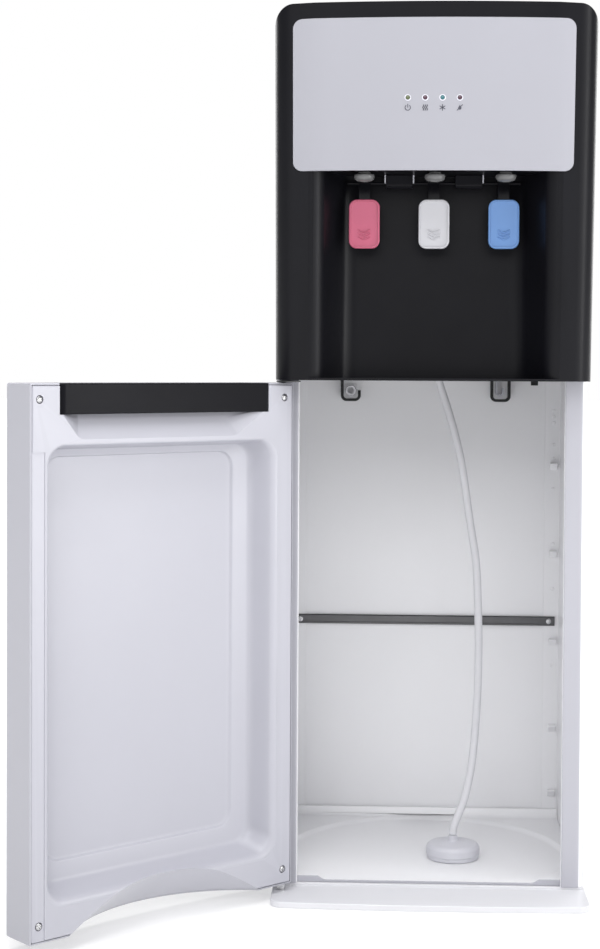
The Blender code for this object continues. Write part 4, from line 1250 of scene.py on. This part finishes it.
def make_switches():
    back = REAR_Y + SHEET + GAP + SHEET + GAP
    edge = rounded_rectangle((SWITCH_X - 0.029, SWITCH_Z - 0.015),
                             (SWITCH_X + 0.029, SWITCH_Z + 0.015), 0.0025)
    surround = front_plate("switch_frame", edge, back, back + 0.0028)
    bevel(surround, 0.0008, 3, 50.0)
    for offset in (-0.015, 0.015):
        x = SWITCH_X + offset
        boolean(surround, box("window", (x - 0.0062, back - 0.01, SWITCH_Z - 0.0100),
                              (x + 0.0062, back + 0.01, SWITCH_Z + 0.0100)))
    settle(bevel(surround, 0.0002, 2, 50.0), "black_plastic", replaces=["switch_plate"])
    tilt = Matrix.Rotation(math.radians(-6.0), 4, "X")
    for name, offset, finish in (("hot", -0.015, "red_plastic"), ("cold", 0.015, "green_plastic")):
        side = [(-0.0018, -0.009), (0.0012, -0.009)]
        side += [(0.0012 + 0.0012 * math.cos(t * math.pi / 12) ** 2, -0.009 + (6 + t) * 0.0015)
                 for t in range(-5, 6)]
        side += [(0.0012, 0.009), (-0.0018, 0.009)]
        rocker = bevel(side_plate("switch_" + name, side, -0.0055, 0.0055), 0.0004, 3, 40.0)
        dot = box("dot", (-0.0004, 0.0010, 0.0038), (0.0004, 0.0021, 0.0062), 0.0002)
        piece = join("switch_" + name, [rocker, dot])
        place = Matrix.Translation((SWITCH_X + offset, back + 0.0032, SWITCH_Z))
        piece.data.transform(place @ tilt)
        settle(piece, finish, "rocker_" + name, ["rocker_" + name])


# ---- bottle space fittings -------------------------------------------------
CLIP_Y = (0.146, 0.158)


def strip(name, points, wall, near, far):
    """A bent strip of constant thickness seen from the front."""
    outline = []
    for sign in (1, -1):
        run = points if sign == 1 else list(reversed(points))
        for i, point in enumerate(run):
            before = Vector(run[max(i - 1, 0)])
            after = Vector(run[min(i + 1, len(run) - 1)])
            along = (after - before).normalized()
            outline.append((point[0] - along.y * wall / 2, point[1] + along.x * wall / 2))
    return front_plate(name, outline, near, far)


def make_clips():
    """Left: an open hook round a clear ring.  Right: a closed loop round a tongue."""
    low, top, wall, half, turn = 0.5235, DECK_Z - GAP, 0.0032, 0.0120, 0.007
    reach = half - wall / 2
    bend = turn - wall / 2
    floor = low + wall / 2
    for name, middle, end in (("left", -0.0912, low + 0.013), ("right", 0.0897, top)):
        points = [(middle - reach, top), (middle - reach, top - 0.012)]
        points += arc((middle - reach + bend, floor + bend), bend, 180, 270, 8)
        points += arc((middle + reach - bend, floor + bend), bend, 270, 360, 8)
        points.append((middle + reach, end))
        clip = strip("clip_" + name, points, wall, *CLIP_Y)
        settle(bevel(clip, 0.0006, 3, 50.0), "black_rubber",
               replaces=["hose_clip_" + name])
    ring = turned("clip_ring", fillet(((0.0040, 0.004), (0.0066, 0.004), (0.0066, -0.004),
                                       (0.0040, -0.004), (0.0040, 0.004)), 0.0008), 40,
                  (-0.0912, 0.152, 0.5362), "front")
    settle(ring, "hose")
    tongue = strip("clip_tongue", [(0.0845, top), (0.0845, 0.5352)]
                   + arc((0.0885, 0.5352), 0.0040, 180, 360, 12) + [(0.0925, 0.5400)],
                   0.0020, CLIP_Y[0] - 0.001, CLIP_Y[1] - 0.002)
    settle(bevel(tongue, 0.0004, 2, 50.0), "white_plastic")


HOSE_TILT = 0.335
CAP_RADIUS = 0.030
CAP_HEIGHT = 0.0175
CAP_PLACE = (0.0300, -0.0080, DISH_FLOOR + GAP)


def make_cap():
    top = CAP_HEIGHT
    profile = fillet(((0.0, top + 0.0080), (0.0050, top + 0.0078), (0.0057, top + 0.0016),
                      (0.0115, top + 0.0004), (0.0220, top), (CAP_RADIUS - 0.0028, top - 0.0012),
                      (CAP_RADIUS, top - 0.0045), (CAP_RADIUS, 0.0052),
                      (CAP_RADIUS - 0.0009, 0.0044), (CAP_RADIUS - 0.0009, 0.0),
                      (0.0, 0.0)), 0.0016)
    cap = turned("bottle_cap", profile, 96, CAP_PLACE)
    settle(cap, "cap_white", replaces=["suction_cap"], angle=40.0)


def make_spigot():
    profile = fillet(((0.0, 0.018), (0.0062, 0.018), (0.0062, 0.0105), (0.0080, 0.0100),
                      (0.0080, 0.0075), (0.0062, 0.0070), (0.0062, 0.0), (0.0, 0.0)), 0.0008)
    spigot = turned("hose_socket", profile, 48)
    up = Vector((-HOSE_TILT, 0.0, 1.0)).normalized()
    turn = Matrix.Rotation(-math.atan(HOSE_TILT), 4, "Y")
    start = Vector(HOSE_ROUTE[0]) + up * GAP
    spigot.data.transform(Matrix.Translation(start) @ turn)
    settle(spigot, "clear_grey", replaces=["hose_spigot"])


make_condenser()
make_rear()
make_switches()
make_clips()
make_cap()
make_spigot()
make_hose()


# ---- door ------------------------------------------------------------------
DOOR_EDGE = 0.0055
DOOR_FACE = 0.0109
DOOR_WIDTH = 0.326
DOOR_SIDE = 0.047
DOOR_MIDDLE = 0.058
DOOR_Z = (0.0145, 0.5475)
DOOR_CORNER_R = 0.008
SKIN = 0.0018
RECESS_U = (0.026, 0.306)
RECESS_Z = (0.0495, 0.488)
RECESS_FLOOR_U = (0.065, 0.290)
RECESS_FLOOR_Z = (0.085, 0.475)
RECESS_DEPTH = 0.030
HANDLE_U = (0.035, 0.293)
HANDLE_Z = (0.5175, 0.5472)
HANDLE_DEPTH = 0.040
GRIP_U = (0.090, 0.236)
GRIP_Z = (0.524, 0.541)
CREASE_U = 0.3095
ARCH_RADIUS = 0.1645
ARCH_DEPTH = 0.052
ARCH_HEIGHT = 0.046
SCREW_U = (0.013, 0.3155)
SCREW_Z = (0.0315, 0.532)
DOOR_FRAME = Matrix.Translation(PIVOT) @ Matrix.Rotation(-DOOR_OPEN, 4, "Z")


def door_x(u):
    return u - DOOR_EDGE


def door_y(depth):
    return DOOR_FACE - depth


def door_outline(inset, face):
    """Plan of the door; face is how deep the outline starts from its inner face."""
    low_u, high_u = inset, DOOR_WIDTH - inset
    radius = DOOR_CORNER_R - inset
    side = DOOR_SIDE - inset
    middle = DOOR_MIDDLE - inset
    half = DOOR_WIDTH / 2
    reach = half - inset - radius
    points = [(door_x(high_u), door_y(face)), (door_x(low_u), door_y(face))]
    points += arc((door_x(low_u) + radius, door_y(side) + radius), radius, 180, 262, 10)
    for i in range(1, 24):
        across = (-1 + i / 12) * reach
        depth = middle - (middle - side) * (across / reach) ** 2
        points.append((door_x(half + across), door_y(depth)))
    points += arc((door_x(high_u) - radius, door_y(side) + radius), radius, 278, 360, 10)
    return points


def door_box(name, u, depth, z, rounding=0.0):
    return box(name, (door_x(u[0]), door_y(depth[1]), z[0]),
               (door_x(u[1]), door_y(depth[0]), z[1]), rounding)


def recess_solid(name):
    """The liner's pocket as a closed cutter: rings that sink with rounded edges."""
    share_depth = [(-0.30, -0.009)]
    for i in range(9):
        t = i / 8
        share_depth.append((-0.10 + 0.20 * t, 0.0040 * t * t * t + 0.0002 * t))
    for share, depth in ((0.16, 0.0092), (0.22, 0.0150), (0.28, 0.0204), (0.32, 0.0232),
                         (0.36, 0.0250), (0.40, 0.0259), (0.46, 0.0262), (0.86, 0.0272),
                         (0.90, 0.0276), (0.92, 0.0284), (0.94, 0.0294), (0.97, 0.0299)):
        share_depth.append((share, depth))
    share_depth.append((1.02, RECESS_DEPTH))
    outer = rounded_rectangle((RECESS_U[0], RECESS_Z[0]), (RECESS_U[1], RECESS_Z[1]), 0.020, 12)
    floor = rounded_rectangle((RECESS_FLOOR_U[0], RECESS_FLOOR_Z[0]),
                              (RECESS_FLOOR_U[1], RECESS_FLOOR_Z[1]), 0.016, 12)
    work = bmesh.new()
    rings = []
    for share, depth in share_depth:
        ring = []
        for (x0, z0), (x1, z1) in zip(outer, floor):
            u, z = x0 + (x1 - x0) * share, z0 + (z1 - z0) * share
            ring.append(work.verts.new((door_x(u), door_y(depth), z)))
        rings.append(ring)
    close_rings(work, rings)
    return from_bmesh(name, work)


def arch_cutter():
    """A cone standing in front of the inner face: wide below, narrow above."""
    away = ARCH_RADIUS - ARCH_DEPTH
    slope = ARCH_DEPTH / ARCH_HEIGHT
    profile = [(0.0, ARCH_HEIGHT + 0.02), (away - slope * 0.02, ARCH_HEIGHT + 0.02),
               (ARCH_RADIUS + slope * 0.004, -0.004), (0.0, -0.004)]
    place = (door_x(DOOR_WIDTH / 2), door_y(-away), DOOR_Z[0])
    return turned("arch", profile, 160, place)


def scoop_solid():
    """The finger scoop below the handle: a slanted hollow between two depths."""
    top, low = HANDLE_Z[0] + 0.004, 0.4935
    corners = ((0.036, top), (0.079, low), (0.270, low), (0.293, top))
    outline = [corners[0]] + round_corner(*corners[:3], 0.013, 8)
    outline += round_corner(*corners[1:], 0.011, 8) + [corners[3]]
    work = bmesh.new()
    rings = []
    for depth, shrink in ((-0.006, -0.40), (0.0, 0.0), (0.009, 0.70), (0.013, 1.0)):
        ring = []
        for u, z in outline:
            share = (top - z) / (top - low) * shrink
            shift = 0.012 * share if u < DOOR_WIDTH / 2 else -0.010 * share
            ring.append(work.verts.new((door_x(u + shift), door_y(depth), z + 0.024 * share)))
        rings.append(ring)
    close_rings(work, rings)
    return from_bmesh("scoop", work)


def bores(item):
    for low, high in ((-0.02, 0.030), (0.533, 0.60)):
        boolean(item, turned("bore", disc(0.0031, high, low), 32))


def make_door_skin():
    skin = plate("door_shell", door_outline(0.0, 0.0), DOOR_Z[0], DOOR_Z[1])
    bevel(skin, 0.0016, 4, 50.0)
    boolean(skin, plate("hollow", door_outline(SKIN, -0.01), DOOR_Z[0] + SKIN, DOOR_Z[1] - SKIN))
    notch = (HANDLE_U[0] - GAP, HANDLE_U[1] + GAP)
    boolean(skin, door_box("notch", notch, (-0.01, HANDLE_DEPTH + GAP), (HANDLE_Z[0], 0.56)))
    grip = rounded_rectangle((door_x(GRIP_U[0]), GRIP_Z[0]), (door_x(GRIP_U[1]), GRIP_Z[1]), 0.004)
    boolean(skin, front_plate("grip", grip, door_y(0.08), door_y(HANDLE_DEPTH + 0.004)))
    boolean(skin, arch_cutter())
    bores(skin)
    bevel(skin, 0.0004, 2, 50.0)
    skin.data.transform(DOOR_FRAME)
    settle(skin, "white_steel", "door", ["door_skin"])


def make_door_liner():
    low, high = DOOR_Z[0] + SKIN + GAP, DOOR_Z[1] - SKIN - GAP
    liner = plate("door_lining", door_outline(SKIN + GAP, -0.0002), low, high)
    bevel(liner, 0.0018, 4, 60.0)
    boolean(liner, recess_solid("recess"))
    notch = (HANDLE_U[0] - GAP, HANDLE_U[1] + GAP)
    room = (HANDLE_Z[0] - GAP, 0.56)
    boolean(liner, door_box("notch", notch, (-0.01, HANDLE_DEPTH + GAP), room))
    grip = (GRIP_U[0] - 0.006, GRIP_U[1] + 0.006)
    boolean(liner, door_box("grip", grip, (0.03, 0.08), (GRIP_Z[0] - 0.006, 0.56)))
    boolean(liner, scoop_solid())
    boolean(liner, arch_cutter())
    bores(liner)
    for u in SCREW_U:
        for z in SCREW_Z:
            boolean(liner, turned("sink", disc(0.0041, 0.0010, -0.0040), 32,
                                  (door_x(u), door_y(0.0), z), "rear"))
    boolean(liner, door_box("crease", (CREASE_U, 0.34), (-0.01, 0.0006), (0.0, 0.482)))
    tidy(liner)
    bevel(liner, 0.0009, 3, 32.0)
    liner.data.transform(DOOR_FRAME)
    settle(liner, "white_plastic", "door", ["door_liner"], 42.0)


def make_handle():
    handle = door_box("handle_bar", HANDLE_U, (0.0, HANDLE_DEPTH), HANDLE_Z)
    groove = turned("groove", disc(0.0095, 0.073, -0.073), 48,
                    (door_x(DOOR_WIDTH / 2), door_y(HANDLE_DEPTH), sum(GRIP_Z) / 2), "side")
    boolean(handle, groove)
    tidy(handle)

    def free_end(place):
        end = abs(place.x - door_x(HANDLE_U[1])) < 0.0005
        return end and place.y > door_y(0.001)

    weigh_edges(handle, free_end)
    bevel(handle, 0.0075, 8, weights=True)
    clear_weights(handle)
    bevel(handle, 0.0013, 4, 40.0)
    handle.data.transform(DOOR_FRAME)
    settle(handle, "handle_plastic", "door", ["door_handle"])


def make_door_screws():
    for i, u in enumerate(SCREW_U):
        for j, z in enumerate(SCREW_Z):
            name = ("hinge", "free")[i] + "_" + ("low", "high")[j]
            screw = phillips_screw("lining_screw_" + name, (door_x(u), door_y(0.0009), z), "rear",
                                   0.0034, 0.0016)
            screw.data.transform(DOOR_FRAME)
            settle(screw, "steel", "door", ["door_screw_" + name])


def make_hinges():
    low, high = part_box("hinge_leaf")
    leaf = box("hinge_plate", low, high, 0.0005)
    boolean(leaf, turned("hole", disc(0.0018, 0.60, 0.50), 24, (-0.1455, FRAME_Y - 0.0065, 0.0)))
    settle(leaf, "galvanised", replaces=["hinge_leaf"])
    upper = turned("hinge_post_upper", fillet(disc(0.0025, 0.5479, 0.5350), 0.0006), 32, PIVOT)
    settle(upper, "steel", replaces=["hinge_pin_upper"])
    collar = BASE_EDGE + GAP
    profile = fillet(((0.0, 0.028), (0.0025, 0.028), (0.0025, 0.0139), (0.0045, 0.0139),
                      (0.0045, collar), (0.0, collar)), 0.0005)
    settle(turned("hinge_post_lower", profile, 32, PIVOT), "steel",
           replaces=["hinge_pin_lower"])


make_door_skin()
make_door_liner()
make_handle()
make_door_screws()
make_hinges()
